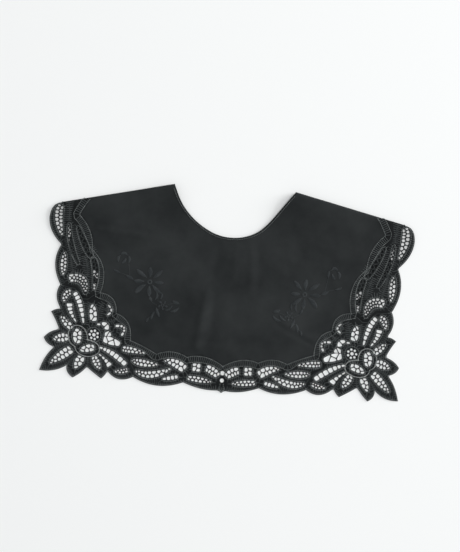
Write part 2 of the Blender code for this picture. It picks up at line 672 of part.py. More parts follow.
def lace_border():
    """The front's lace border in five lengths, as its tapes are joined."""
    for section in ("side", "corner"):
        outline, holes = lace_half(section)
        for word, side in (("left", 1), ("right", -1)):
            rim = outline if side > 0 else mirrored(outline)
            cut = holes if side > 0 else [mirrored(ring) for ring in holes]
            start, end = SHOULDER_TO_SEAM + 6.0, SHOULDER_TO_EDGE - 2.0
            creases = roll_creases((side,), start, end) if section == "side" else ()
            cloth_piece(
                f"lace_{section}_{word}", rim, lie_on_top, LACE_WALL, LACE_COLOUR, cut, creases, LACE_MESH
            )
    half, holes = lace_half("hem")
    outline = half[:-1] + mirrored(half)[:-1]
    cut = holes + [mirrored(ring) for ring in holes] + [eyelet_ring(eye) for eye in CENTRE_EYES]
    cloth_piece("lace_hem", outline, lie_on_top, LACE_WALL, LACE_COLOUR, cut, (), LACE_MESH)


def neck_binding():
    """The narrow bound edge of the front's neck, lying on the panel."""
    edge, line = neck_band()
    outline = edge + line[::-1]
    lift = CLOTH_WALL / 2 + SEAM_GAP + BINDING_WALL / 2
    cloth_piece("neck_binding", outline, lie_on_top, BINDING_WALL, TRIM_COLOUR, spacing=40.0, lift=lift)


def stand_at_origin(pieces):
    """Moves every piece so that the collar is centred over the origin and lies on z = 0."""
    graph = bpy.context.evaluated_depsgraph_get()
    corners = []
    for piece in pieces:
        corners += [v.co.copy() for v in piece.evaluated_get(graph).data.vertices]
    low = Vector(min(c[axis] for c in corners) for axis in range(3))
    high = Vector(max(c[axis] for c in corners) for axis in range(3))
    middle = Vector(((low.x + high.x) / 2, (low.y + high.y) / 2, low.z))
    for piece in pieces:
        for vert in piece.data.vertices:
            vert.co -= middle


for leftover in list(bpy.data.objects):
    bpy.data.objects.remove(leftover)
collar = bpy.data.collections.new("lace_collar")
bpy.context.scene.collection.children.link(collar)

front_panel()
neck_binding()
lace_border()
for word, side in (("left", 1), ("right", -1)):
    back_panel(f"back_panel_{word}", side)
    back_lace(f"lace_back_{word}", side)
stand_at_origin(list(collar.objects))
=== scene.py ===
# %% [markdown]
# # A black tape-lace collar, laid flat
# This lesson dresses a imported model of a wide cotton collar. The model's solids are plain walls, so
# everything that makes cloth look like cloth is made here: the fine sheet with its soft creases, the
# lace's bars and corded tapes, the ladder seam, the bound neck and the satin-stitched flowers.
# All sizes are in millimetres on the collar's flat cut, and one function lays them in the scene.

import math
import random
from collections import namedtuple

import bpy
import numpy as np
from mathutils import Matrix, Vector
from mathutils.geometry import delaunay_2d_cdt


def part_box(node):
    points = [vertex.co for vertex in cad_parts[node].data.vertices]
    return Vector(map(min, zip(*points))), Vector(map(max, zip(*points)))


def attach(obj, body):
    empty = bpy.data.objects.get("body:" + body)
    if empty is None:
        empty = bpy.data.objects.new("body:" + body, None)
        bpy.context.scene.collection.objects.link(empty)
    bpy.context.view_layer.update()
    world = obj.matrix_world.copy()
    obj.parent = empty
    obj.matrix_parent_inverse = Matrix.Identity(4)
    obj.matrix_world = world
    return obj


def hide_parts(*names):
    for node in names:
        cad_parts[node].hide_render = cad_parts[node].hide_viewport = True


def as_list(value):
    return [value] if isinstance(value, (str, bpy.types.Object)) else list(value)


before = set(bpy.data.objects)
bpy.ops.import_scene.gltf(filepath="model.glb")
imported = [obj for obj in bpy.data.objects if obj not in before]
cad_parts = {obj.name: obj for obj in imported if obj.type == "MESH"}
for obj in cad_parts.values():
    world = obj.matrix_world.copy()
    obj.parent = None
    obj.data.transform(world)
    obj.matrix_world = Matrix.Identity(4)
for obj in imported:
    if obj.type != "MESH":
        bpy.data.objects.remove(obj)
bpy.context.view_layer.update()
MM = 0.001
print("frame nodes:", sorted(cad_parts))

# %% [markdown]
# The cut of the collar is a few sizes and a few short tables, the same ones that its solids were
# made from. x runs out from the centre front and y runs down from the line through the neck points.
# A row of a table is a curve: its name, the point half way along it and the point where it ends. It
# starts where the row before it ended, so a scallop or a petal's edge is one line of text.

# %% Sizes of the cut
NECK_HALF_WIDTH = 80.5
NECK_DEPTH = 66.0
NECK_FLAT = 40.0
NECK_SIDE = (62.0, 33.0)
SHOULDER_ANGLE = math.radians(12.9)
SHOULDER_TO_SEAM = 112.6
SHOULDER_TO_EDGE = 152.3
BACK_SHOULDER_TO_EDGE = 143.0
CENTRE_BACK_SLIT = 0.6
SLIT_STRIP = 4.0
BACK_DEPTH = 186.0
SEAM_GAP = 0.3
BEND = 3.0
ROLL_LENGTH = 9.5
LOFT_REACH = 30.0
LET_DOWN_FROM = 2.0
LET_DOWN = 16.0
LOWER_MID = 0.6
UPPER_MID = 2.2
BAR = 1.1
LOOSENESS = 0.14
LEAST_NARROWNESS = 0.62
RIM_STEPS = 10
LAID_TURN = 0.02
TURN_MIDDLE = 53.0
TURN_FROM = 40.0
TURN_REACH = 147.0
NECK_PULL = 3.3
PULL_DEPTH = 58.0
PULL_FROM = 70.0
PULL_REACH = 60.0

# %% Outlines of the cut
Curve = namedtuple("Curve", "name start through end")


def chain(start, rows):
    """Curves laid end to end."""
    curves = []
    for name, through, end in rows:
        curves.append(Curve(name, start, through, end))
        start = end
    return curves


OUTER_EDGE = chain((229.0, 34.0), [
    ("shoulder_lobe_top", (239.5, 40.5), (243.5, 55.0)),
    ("shoulder_lobe_side", (238.5, 74.0), (224.5, 91.0)),
    ("side_lobe", (230.8, 118.0), (221.5, 147.0)),
    ("upper_loop", (225.0, 163.0), (218.0, 180.0)),
    ("petal_1_out", (224.5, 181.0), (230.5, 184.5)),
    ("petal_1_back", (223.5, 196.0), (218.5, 207.0)),
    ("petal_2_out", (229.5, 211.5), (237.5, 219.5)),
    ("petal_2_back", (232.5, 226.8), (223.5, 231.0)),
    ("petal_3_out", (233.5, 245.5), (239.8, 263.5)),
    ("petal_3_back", (221.5, 262.0), (206.0, 253.5)),
    ("petal_4_out", (203.8, 262.5), (196.0, 269.3)),
    ("petal_4_back", (187.0, 262.0), (179.5, 253.0)),
    ("petal_5_out", (169.5, 260.0), (157.5, 267.5)),
    ("petal_5_back", (153.0, 262.5), (150.0, 256.5)),
    ("lower_loop", (133.5, 266.5), (115.0, 262.0)),
    ("hem_lobe", (83.0, 270.8), (50.5, 263.5)),
    ("centre_lobe", (27.0, 269.8), (6.0, 270.3)),
    ("centre_point", (2.6, 271.2), (0.0, 273.0)),
])

CLOTH_EDGE = chain((190.3, 25.2), [
    ("shoulder_step", (198.2, 37.0), (204.5, 49.5)),
    ("scallop_1", (189.0, 70.0), (183.5, 96.0)),
    ("scallop_2", (166.8, 121.0), (168.0, 154.0)),
    ("upper_scroll", (150.3, 161.0), (144.5, 179.5)),
    ("lower_scroll", (128.0, 190.5), (123.0, 214.0)),
    ("corner_sweep", (105.5, 221.0), (87.0, 230.0)),
    ("scallop_3", (67.5, 225.0), (47.5, 230.5)),
    ("scallop_4", (24.5, 228.2), (0.0, 238.5)),
])

BACK_OUTER_EDGE = chain((219.2, 35.2), [
    ("back_lobe_1", (219.5, 54.0), (212.5, 72.0)),
    ("back_lobe_2", (214.5, 92.0), (206.5, 111.0)),
    ("back_lobe_3", (191.0, 132.0), (168.0, 144.0)),
    ("back_lobe_4", (150.0, 163.5), (124.0, 173.5)),
    ("back_lobe_5", (102.0, 187.5), (77.0, 184.5)),
    ("back_lobe_6", (55.0, 192.5), (33.0, 186.0)),
    ("back_lobe_7", (19.0, 191.0), (CENTRE_BACK_SLIT, 187.5)),
])

BACK_CLOTH_EDGE = chain((189.6, 28.4), [
    ("back_side", (190.0, 62.0), (181.0, 93.0)),
    ("back_corner", (158.0, 124.0), (118.0, 148.0)),
    ("back_hem", (68.0, 160.5), (CENTRE_BACK_SLIT, 162.0)),
])

SIDE_TO_CORNER = [
    (211.0, 149.6), (201.5, 150.8), (196.0, 157.6), (190.0, 163.6), (183.0, 163.4), (176.5, 158.0),
]
CORNER_TO_HEM = [
    (114.4, 253.0), (118.8, 245.2), (125.0, 238.4), (134.2, 232.0), (134.8, 223.6), (128.5, 218.0),
]
LOOP_START, HEM_START = OUTER_EDGE[3].start, OUTER_EDGE[15].start
SCROLL_START, SWEEP_START = CLOTH_EDGE[3].start, CLOTH_EDGE[5].start
JOINS = {
    "side": np.array([LOOP_START, *SIDE_TO_CORNER, SCROLL_START]),
    "corner": np.array([HEM_START, *CORNER_TO_HEM, SWEEP_START]),
}

# %% [markdown]
# In this kind of lace a machine-made tape is bent into petals, leaves and scrolls, and the spaces
# inside them are filled with needle-made bars. Each filling is one row: a spine through three
# points, its half width at each, how many lanes of gaps it has and how many rows.

# %% Fillings of the lace
Filling = namedtuple("Filling", "name start middle end widths lanes rows")

SIDE_FILLINGS = [
    Filling("shoulder_net", (229.4, 38.0), (231.0, 55.8), (224.9, 78.6), (3.8, 5.1, 1.4), 2, 8),
    Filling("side_leaf", (216.4, 61.4), (212.0, 88.6), (199.6, 117.0), (0.9, 2.3, 1.0), 2, 10),
    Filling("scallop_1_net", (204.2, 65.4), (194.8, 86.6), (183.6, 105.0), (1.2, 3.2, 2.8), 2, 6),
    Filling("scallop_2_net", (180.4, 108.0), (175.8, 127.0), (176.2, 150.0), (2.8, 3.2, 1.2), 2, 7),
    Filling("side_lobe_net", (219.4, 101.6), (219.6, 117.6), (219.2, 133.6), (1.0, 4.0, 1.0), 2, 6),
    Filling("fan_net", (187.4, 156.8), (193.0, 139.0), (210.6, 137.6), (1.0, 5.6, 4.6), 3, 8),
]

CORNER_FILLINGS = [
    Filling("upper_ladder", (201.6, 156.4), (192.6, 172.6), (187.0, 195.0), (2.8, 3.0, 1.0), 1, 7),
    Filling("upper_loop_net", (206.8, 156.0), (212.2, 160.0), (215.4, 169.6), (3.4, 3.9, 1.6), 2, 4),
    Filling("upper_tail", (207.2, 171.6), (204.2, 183.2), (196.8, 194.6), (4.0, 2.4, 0.8), 1, 5),
    Filling("petal_1_net", (217.2, 189.6), (209.8, 196.6), (202.4, 204.2), (1.2, 4.5, 2.6), 2, 4),
    Filling("petal_2_net", (225.2, 220.6), (215.4, 217.8), (206.8, 215.4), (1.2, 5.4, 3.4), 2, 4),
    Filling("petal_3_net", (227.0, 253.2), (214.4, 241.8), (202.4, 231.0), (0.8, 5.2, 4.8), 2, 6),
    Filling("petal_4_net", (195.2, 256.4), (191.2, 247.4), (188.4, 239.4), (1.2, 5.3, 4.2), 2, 3),
    Filling("petal_5_net", (161.0, 254.8), (166.4, 246.2), (171.6, 238.0), (1.2, 4.6, 3.2), 2, 4),
    Filling("lower_tail", (164.8, 233.6), (155.0, 241.2), (147.4, 249.6), (0.8, 1.8, 3.8), 1, 4),
    Filling("lower_ladder", (164.0, 224.4), (145.4, 232.2), (126.0, 246.4), (1.0, 3.1, 2.8), 1, 7),
    Filling("lower_loop_net", (122.8, 252.8), (129.6, 255.6), (139.8, 256.6), (2.6, 3.0, 1.2), 2, 4),
    Filling("upper_oval", (192.8, 203.8), (194.8, 212.8), (193.8, 222.2), (3.2, 5.7, 2.8), 2, 3),
    Filling("lower_oval", (171.4, 225.2), (180.6, 227.4), (190.2, 231.2), (3.4, 4.9, 1.8), 2, 3),
    Filling("neck_of_scroll", (176.4, 169.6), (175.0, 179.8), (173.4, 190.4), (1.6, 4.8, 3.8), 2, 3),
    Filling("scroll_bridge", (169.0, 194.2), (166.4, 194.0), (163.8, 194.0), (1.1, 1.2, 1.3), 1, 1),
    Filling("scroll_side", (162.4, 192.6), (156.6, 194.4), (155.6, 200.0), (1.6, 3.0, 3.0), 1, 2),
    Filling("scroll_middle", (154.6, 202.8), (153.4, 205.8), (152.8, 208.8), (3.4, 4.2, 4.8), 2, 1),
    Filling("scroll_foot", (158.8, 212.6), (148.4, 215.2), (136.0, 219.2), (3.6, 5.0, 2.6), 2, 2),
    Filling("upper_scroll_eye", (156.0, 168.2), (150.9, 175.3), (156.0, 181.6), (0.9, 1.5, 0.9), 1, 3),
    Filling("lower_scroll_eye", (143.7, 195.0), (132.3, 196.9), (134.8, 207.6), (1.5, 1.6, 1.5), 1, 5),
]

HEM_FILLINGS = [
    Filling("corner_sweep_net", (131.6, 225.6), (119.6, 226.4), (102.0, 229.4), (3.4, 3.8, 0.9), 2, 6),
    Filling("hem_leaf", (118.4, 239.6), (104.2, 242.4), (84.6, 243.2), (1.2, 4.5, 1.0), 2, 7),
    Filling("hem_lobe_net", (112.0, 253.6), (92.2, 257.0), (67.6, 246.8), (1.4, 4.4, 1.0), 2, 8),
    Filling("scallop_3_net", (76.4, 236.6), (62.4, 239.0), (49.6, 246.0), (0.9, 5.2, 5.0), 2, 5),
    Filling("hem_lobe_eye", (77.0, 261.6), (67.0, 259.2), (57.6, 256.6), (0.9, 2.6, 2.0), 1, 4),
    Filling("pair_of_eyes", (34.4, 237.0), (34.4, 242.2), (34.4, 247.4), (4.9, 4.9, 4.9), 2, 2),
    Filling("centre_lobe_net", (44.8, 257.0), (29.6, 258.2), (13.6, 259.8), (2.6, 3.6, 0.9), 2, 6),
    Filling("heart_side", (21.6, 242.0), (13.2, 245.2), (5.4, 250.8), (4.3, 5.3, 3.6), 2, 4),
]

BACK_SPINES = [
    ((211.5, 46.0), (210.5, 56.0), (206.5, 68.0)),
    ((205.0, 84.0), (204.5, 94.0), (199.5, 104.0)),
    ((186.0, 120.0), (176.0, 129.0), (164.0, 135.5)),
    ((150.0, 149.0), (138.0, 158.0), (124.0, 164.0)),
    ((108.0, 171.0), (94.0, 174.5), (80.0, 175.5)),
    ((64.0, 176.5), (51.0, 178.5), (38.0, 177.5)),
]
BACK_FILLINGS = [
    Filling(f"back_net_{i + 1}", *spine, (2.0, 3.6, 2.0), 1, 4) for i, spine in enumerate(BACK_SPINES)
]



def around(middle, reach, turn):
    """The place that far from a middle, in that direction."""
    return middle[0] + reach * math.cos(turn), middle[1] + reach * math.sin(turn)


Eyelet = namedtuple("Eyelet", "middle radii")
HUB_MIDDLE = (172.4, 208.2)
HUB_RING_RADIUS = 5.6
HUB_RING_EYES = 7
HUB_EYES = [Eyelet(HUB_MIDDLE, (2.4, 2.4))]
for i in range(HUB_RING_EYES):
    HUB_EYES.append(Eyelet(around(HUB_MIDDLE, HUB_RING_RADIUS, 2 * math.pi * i / HUB_RING_EYES), (1.7, 1.7)))
HEART, HEART_FOOT = Eyelet((0.0, 246.8), (3.1, 3.0)), Eyelet((0.0, 256.6), (2.7, 2.9))
CENTRE_EYES = [HEART, HEART_FOOT]

# %% [markdown]
# Cloth never lies perfectly flat. The shoulder fold stands up in a soft roll, highest at the neck,
# and the front sinks from the folded-under back to the table within a couple of centimetres. The
# broad swells come with the solids; the finer creases below them are added here, each a soft trough
# or ridge along a line, placed where the photograph shows one. The roll's loft is given as
# heights at places out along the shoulder, and a drag is a place that the hand pulled a little.

# %% Loft, swells and creases
LOFT_PLACES = (0.0, 55.0, 112.0, 160.0)
LOFT_HEIGHTS = (7.0, 5.0, 3.2, 2.4)
Drag = namedtuple("Drag", "name place reach by")
DRAGS = [
    Drag("right_corner", (-187.0, 240.0), 36.0, (3.2, 1.0)),
    Drag("left_lower_petals", (176.0, 266.0), 34.0, (5.0, -2.8)),
    Drag("left_hem", (96.0, 266.0), 44.0, (1.2, -3.2)),
    Drag("left_heart", (165.0, 204.0), 36.0, (1.0, -2.4)),
    Drag("right_heart", (-165.0, 204.0), 36.0, (0.0, 2.4)),
]
Swell = namedtuple("Swell", "name start end reach height")
SWELLS = [
    Swell("left_pleat", (-37.0, 148.0), (-34.0, 212.0), 15.0, 1.6),
    Swell("right_roll", (64.0, 168.0), (118.0, 198.0), 17.0, 1.5),
    Swell("left_roll", (-188.0, 60.0), (-112.0, 72.0), 17.0, 1.6),
    Swell("neck_swell", (18.0, 92.0), (34.0, 168.0), 20.0, 1.4),
]
CREASES = [
    Swell("left_shoulder_crease", (-184.0, 61.0), (-112.0, 66.0), 3.2, -0.7),
    Swell("left_shoulder_ridge", (-178.0, 66.0), (-118.0, 72.0), 4.5, 0.6),
    Swell("right_hem_crease", (70.0, 176.0), (118.0, 199.0), 3.0, -0.8),
    Swell("right_hem_ridge", (76.0, 171.0), (124.0, 194.0), 5.0, 0.6),
    Swell("pleat_ridge", (-28.0, 146.0), (-37.0, 214.0), 6.0, 2.0),
    Swell("pleat_trough", (-17.0, 152.0), (-22.0, 206.0), 6.0, -0.8),
    Swell("neck_fold_1", (27.0, 76.0), (31.0, 138.0), 4.5, 0.6),
    Swell("neck_fold_2", (38.0, 84.0), (40.0, 128.0), 4.0, -0.5),
    Swell("neck_fold_3", (8.0, 78.0), (6.0, 120.0), 4.5, 0.45),
    Swell("neck_fold_4", (-16.0, 80.0), (-22.0, 132.0), 5.5, -0.5),
    Swell("right_upper_dip", (58.0, 66.0), (84.0, 112.0), 9.0, -0.5),
    Swell("left_lower_dip", (-96.0, 168.0), (-60.0, 206.0), 10.0, -0.4),
    Swell("right_side_ridge", (126.0, 92.0), (150.0, 128.0), 8.0, 0.45),
]

# %% [markdown]
# These helpers turn the tables into lines of points. They work on whole arrays of points at once
# with numpy, because the lace has tens of thousands of them.


# %% Lines from the tables
def smooth(t):
    """0 below 0 and 1 above 1, with a soft start and end."""
    t = np.clip(t, 0.0, 1.0)
    return t * t * (3 - 2 * t)


def unit(vectors):
    """Vectors of length one."""
    return vectors / np.maximum(np.linalg.norm(vectors, axis=-1, keepdims=True), 1e-9)


def pull_of(start, through, end):
    """The control point of a curve that passes its middle point half way."""
    return 2 * through - (start + end) / 2


def bent(t, start, pull, end):
    """Points on a curve between two ends, drawn towards a control point."""
    return (1 - t) ** 2 * start + 2 * t * (1 - t) * pull + t * t * end


def curve_points(start, through, end, count):
    """Points on a curve through three points, both ends included."""
    start, through, end = (np.array(p, float) for p in (start, through, end))
    return bent(np.linspace(0.0, 1.0, count)[:, None], start, pull_of(start, through, end), end)


def length_of(curve):
    """The length of a curve, near enough to share points out along it."""
    return math.dist(curve.start, curve.through) + math.dist(curve.through, curve.end)


def edge_line(curves, step=2.0):
    """All the points of a row of curves, end included."""
    rows = []
    for curve in curves:
        count = max(3, round(length_of(curve) / step) + 1)
        rows.append(curve_points(curve.start, curve.through, curve.end, count)[:-1])
    return np.vstack(rows + [[curves[-1].end]])


def heading(line, closed=False):
    """The direction of a line at each of its points."""
    if closed:
        return unit(np.roll(line, -1, axis=0) - np.roll(line, 1, axis=0))
    return unit(np.gradient(line, axis=0))


def sideways(along):
    """Directions turned square, to the left when x is right and y is down."""
    return np.stack([along[..., 1], -along[..., 0]], axis=-1)


def moved_out(line, distance, closed=False):
    """A line moved sideways, to the left of its direction."""
    return line + distance * sideways(heading(line, closed))


def nearest(line, spot):
    """The number of the line's point that lies nearest to a spot."""
    return int(np.argmin(np.linalg.norm(line - np.array(spot), axis=1)))


def mirrored(points):
    """The same outline on the other half of the collar, running the same way round."""
    return points[::-1] * np.array([-1.0, 1.0])


def resampled(line, step, closed=False):
    """The same line with its points evenly spaced."""
    if closed:
        line = np.vstack([line, line[:1]])
    run = np.concatenate([[0.0], np.cumsum(np.linalg.norm(np.diff(line, axis=0), axis=1))])
    count = max(2, int(round(run[-1] / step)) + 1)
    places = np.linspace(0.0, run[-1], count)
    points = np.stack([np.interp(places, run, line[:, k]) for k in range(line.shape[1])], axis=1)
    return points[:-1] if closed else points


def neck_line(shift=0.0, count=40):
    """The neck edge from the centre front up to the neck point, moved in by shift."""
    corners = np.array([
        (0.0, NECK_DEPTH + shift),
        (NECK_FLAT, NECK_DEPTH + shift),
        (NECK_SIDE[0] + shift, NECK_SIDE[1] + shift / 2),
        (NECK_HALF_WIDTH + shift, 0.0),
    ])
    t = np.linspace(0.0, 1.0, count + 1)[:, None]
    weights = ((1 - t) ** 3, 3 * t * (1 - t) ** 2, 3 * t * t * (1 - t), t**3)
    return sum(w * c for w, c in zip(weights, corners))


def segments(line, closed=False):
    """The starts and ends of a line's segments."""
    return (line, np.roll(line, -1, axis=0)) if closed else (line[:-1], line[1:])


def distance_to(points, starts, ends):
    """The distance from each point to the nearest of many segments."""
    best = np.empty(len(points))
    span = ends - starts
    size = np.maximum((span**2).sum(1), 1e-9)
    for first in range(0, len(points), 2000):
        part = points[first : first + 2000, None, :] - starts[None]
        t = np.clip((part * span).sum(2) / size, 0.0, 1.0)
        best[first : first + 2000] = np.linalg.norm(part - span * t[..., None], axis=2).min(1)
    return best


def inside(points, rings):
    """True where a point lies within an odd number of closed rings."""
    starts = np.vstack([segments(ring, True)[0] for ring in rings])
    ends = np.vstack([segments(ring, True)[1] for ring in rings])
    rise = np.where(ends[:, 1] == starts[:, 1], 1e-12, ends[:, 1] - starts[:, 1])
    within = np.zeros(len(points), bool)
    for first in range(0, len(points), 2000):
        x, y = points[first : first + 2000, 0:1], points[first : first + 2000, 1:2]
        crossed = (starts[:, 1] > y) != (ends[:, 1] > y)
        reach = starts[:, 0] + (y - starts[:, 1]) * (ends[:, 0] - starts[:, 0]) / rise
        within[first : first + 2000] = ((crossed & (x < reach)).sum(1) % 2).astype(bool)
    return within


# %% [markdown]
# Laying the cloth is the heart of the scene. A point of the flat cut is bent over the shoulder fold,
# let down onto what lies below, moved a little as the hand that laid it did, and lifted off the
# sheet if it belongs to a thread on top. The sheet's own slope gives the direction to lift in.


# %% Folding and laying
def on_fold(along, inner):
    """The points that far out along the shoulder from the neck point, and that far inside the fold."""
    c, s = math.cos(SHOULDER_ANGLE), math.sin(SHOULDER_ANGLE)
    x, y = NECK_HALF_WIDTH + along * c - inner * s, along * s + inner * c
    return np.stack(np.broadcast_arrays(x, y), axis=-1)


def fold_place(points):
    """How far out along the shoulder each point is, and how far inside the fold."""
    c, s = math.cos(SHOULDER_ANGLE), math.sin(SHOULDER_ANGLE)
    px, py = np.abs(points[:, 0]) - NECK_HALF_WIDTH, points[:, 1]
    return px * c + py * s, py * c - px * s


def back_outline():
    """The folded-under back of one side, cloth and lace together."""
    neck = neck_line(count=12)
    neck = neck[(neck[:, 0] > CENTRE_BACK_SLIT) & (fold_place(neck)[1] > BEND)]
    top = on_fold(np.array([0.0, BACK_SHOULDER_TO_EDGE]), np.array([BEND, BEND]))
    return np.vstack([neck, top, edge_line(BACK_OUTER_EDGE, 5.5)[1:]])


BACK_OUTLINE = back_outline()


def over_back(points):
    """1 where the front lies on the back, 0 where it has come down to the table."""
    half = np.abs(points) * [1, 0] + points * [0, 1]
    covered = inside(half, [BACK_OUTLINE]) | ((half[:, 0] < SLIT_STRIP) & (half[:, 1] < BACK_DEPTH))
    gap = distance_to(half, *segments(BACK_OUTLINE, True))
    return np.where(covered, 1.0, 1.0 - smooth((gap - LET_DOWN_FROM) / LET_DOWN))


def front_height(points):
    """The height of the middle of the front's wall, creases and all."""
    along, inner = fold_place(points)
    height = LOWER_MID + (UPPER_MID - LOWER_MID) * over_back(points)
    loft = np.interp(along, LOFT_PLACES, LOFT_HEIGHTS)
    height += loft * np.exp(-((np.maximum(inner, 0.0) / LOFT_REACH) ** 2))
    for swell in SWELLS + CREASES:
        line = np.array([swell.start, swell.end])
        gap = distance_to(points, *segments(line))
        height += swell.height * np.exp(-((gap / swell.reach) ** 2))
    return height


def laid(points):
    """Where the points of the folded collar came to lie when it was put down."""
    x, y = points[:, 0], points[:, 1]
    ends, lower = smooth(np.abs(x) / TURN_REACH), smooth((y - TURN_FROM) / TURN_REACH)
    pull = np.sin(math.pi * np.clip(y / PULL_DEPTH, 0.0, 1.0))
    pull *= 1 - smooth((np.abs(x) - PULL_FROM) / PULL_REACH)
    px = x - LAID_TURN * (y - TURN_MIDDLE) * ends - NECK_PULL * pull
    py = y + LAID_TURN * x * lower
    for drag in DRAGS:
        near = np.exp(-((np.hypot(x - drag.place[0], y - drag.place[1]) / drag.reach) ** 2))
        px, py = px + drag.by[0] * near, py + drag.by[1] * near
    return np.stack([px, py], axis=1)


def seated(places, heights):
    """Flat places and heights as points of the scene, in millimetres."""
    return np.stack([places[:, 0] + SHIFT[0], SHIFT[1] - places[:, 1], heights], axis=1)


def on_top(points):
    """The front's sheet: flat points folded over at the shoulder and let down on what lies under."""
    along, inner = fold_place(points)
    rolled = (inner < BEND) & (np.abs(points[:, 0]) > NECK_HALF_WIDTH / 2)
    side = np.where(points[:, 0] < 0, -1.0, 1.0)[:, None] * [1, 0] + [0, 1]
    edge = on_fold(along, np.full(len(points), BEND)) * side
    top = front_height(np.where(rolled[:, None], edge, points))
    turn = np.where(rolled, math.pi * np.clip((BEND - inner) / ROLL_LENGTH, 0.0, 1.0), 0.0)
    folded = on_fold(along, BEND - BEND * np.sin(turn)) * side
    flat = laid(np.where(rolled[:, None], folded, points))
    return seated(flat, (top + LOWER_MID) / 2 + (top - LOWER_MID) / 2 * np.cos(turn))


def below(points):
    """The back's sheet, flat on the table."""
    return seated(laid(points), np.full(len(points), LOWER_MID))


OUTERMOST, LOWEST = laid(np.array([OUTER_EDGE[9].start, OUTER_EDGE[17].end]))
SHIFT = (
    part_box("lace_corner_left")[1][0] / MM - OUTERMOST[0],
    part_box("lace_hem")[0][1] / MM + LOWEST[1],
)
print("the cut's origin lies at", np.round(SHIFT, 2), "mm in the frame")


def sheet_up(points):
    """The direction that the front's sheet faces at each flat point."""
    step = 0.4
    right = on_top(points + [step, 0.0]) - on_top(points - [step, 0.0])
    down = on_top(points + [0.0, step]) - on_top(points - [0.0, step])
    return unit(np.cross(down, right))


def placed(points, lift=0.0, lay=on_top):
    """Flat points in the scene, in metres. Points with a lift stand that far off the front."""
    spots = lay(points)
    if lift:
        spots = spots + sheet_up(points) * lift
    return spots * MM


# %% [markdown]
# The black cotton and the lace thread are the same dyed yarn, but they take light differently. Plain
# weave scatters it; tape and thread have a faint silk shine along their strands, and that shine is
# painted: the threads and the satin get lighter base colours than the cotton. Both share one
# weave pattern, so it is a node group: two crossed waves, broken up a little by noise.

# %% Weave group
def new_group(name, inputs, outputs):
    """An empty shader node group with named sockets."""
    group = bpy.data.node_groups.new(name, "ShaderNodeTree")
    for label, value in inputs:
        socket = group.interface.new_socket(label, in_out="INPUT", socket_type="NodeSocketFloat")
        socket.default_value = value
    for label in outputs:
        group.interface.new_socket(label, in_out="OUTPUT", socket_type="NodeSocketFloat")
    return group, group.nodes.new("NodeGroupInput"), group.nodes.new("NodeGroupOutput")


def math_node(tree, operation, first, second=None):
    """A Math node fed by sockets or numbers, returning its output."""
    node = tree.nodes.new("ShaderNodeMath")
    node.operation = operation
    for place, value in enumerate((first, second)):
        if value is None:
            continue
        if isinstance(value, (int, float)):
            node.inputs[place].default_value = value
        else:
            tree.links.new(value, node.inputs[place])
    return node.outputs[0]


def weave_group():
    """Crossed threads as a height from 0 to 1, and how worn or dusty each place is."""
    inputs = [("Threads per metre", 1700.0), ("Unevenness", 0.35), ("Blotch size", 14.0)]
    group, given, made = new_group("weave", inputs, ["Height", "Blotch"])
    place = group.nodes.new("ShaderNodeTexCoord").outputs["Object"]
    axes = group.nodes.new("ShaderNodeSeparateXYZ")
    group.links.new(place, axes.inputs[0])
    turns = math_node(group, "MULTIPLY", given.outputs["Threads per metre"], math.pi)
    warp = math_node(group, "SINE", math_node(group, "MULTIPLY", axes.outputs["X"], turns))
    weft = math_node(group, "SINE", math_node(group, "MULTIPLY", axes.outputs["Y"], turns))
    crossed = math_node(group, "MULTIPLY", warp, weft)
    slub = group.nodes.new("ShaderNodeTexNoise")
    slub.inputs["Scale"].default_value = 420.0
    slub.inputs["Detail"].default_value = 3.0
    group.links.new(place, slub.inputs["Vector"])
    uneven = math_node(group, "MULTIPLY", slub.outputs["Fac"], given.outputs["Unevenness"])
    height = math_node(group, "ADD", math_node(group, "MULTIPLY", crossed, 0.5), uneven)
    group.links.new(math_node(group, "ADD", height, 0.35), made.inputs["Height"])
    blotch = group.nodes.new("ShaderNodeTexNoise")
    blotch.inputs["Detail"].default_value = 5.0
    blotch.inputs["Roughness"].default_value = 0.62
    group.links.new(place, blotch.inputs["Vector"])
    group.links.new(given.outputs["Blotch size"], blotch.inputs["Scale"])
    group.links.new(blotch.outputs["Fac"], made.inputs["Blotch"])
    return group


WEAVE = weave_group()
print("weave group:", len(WEAVE.nodes), "nodes")

# %% [markdown]
# Each material sets its own colours, thread count and bump on that one group. Black cotton is never
# pure black: in daylight it is a very dark, slightly green grey, mottled where the nap lies over.


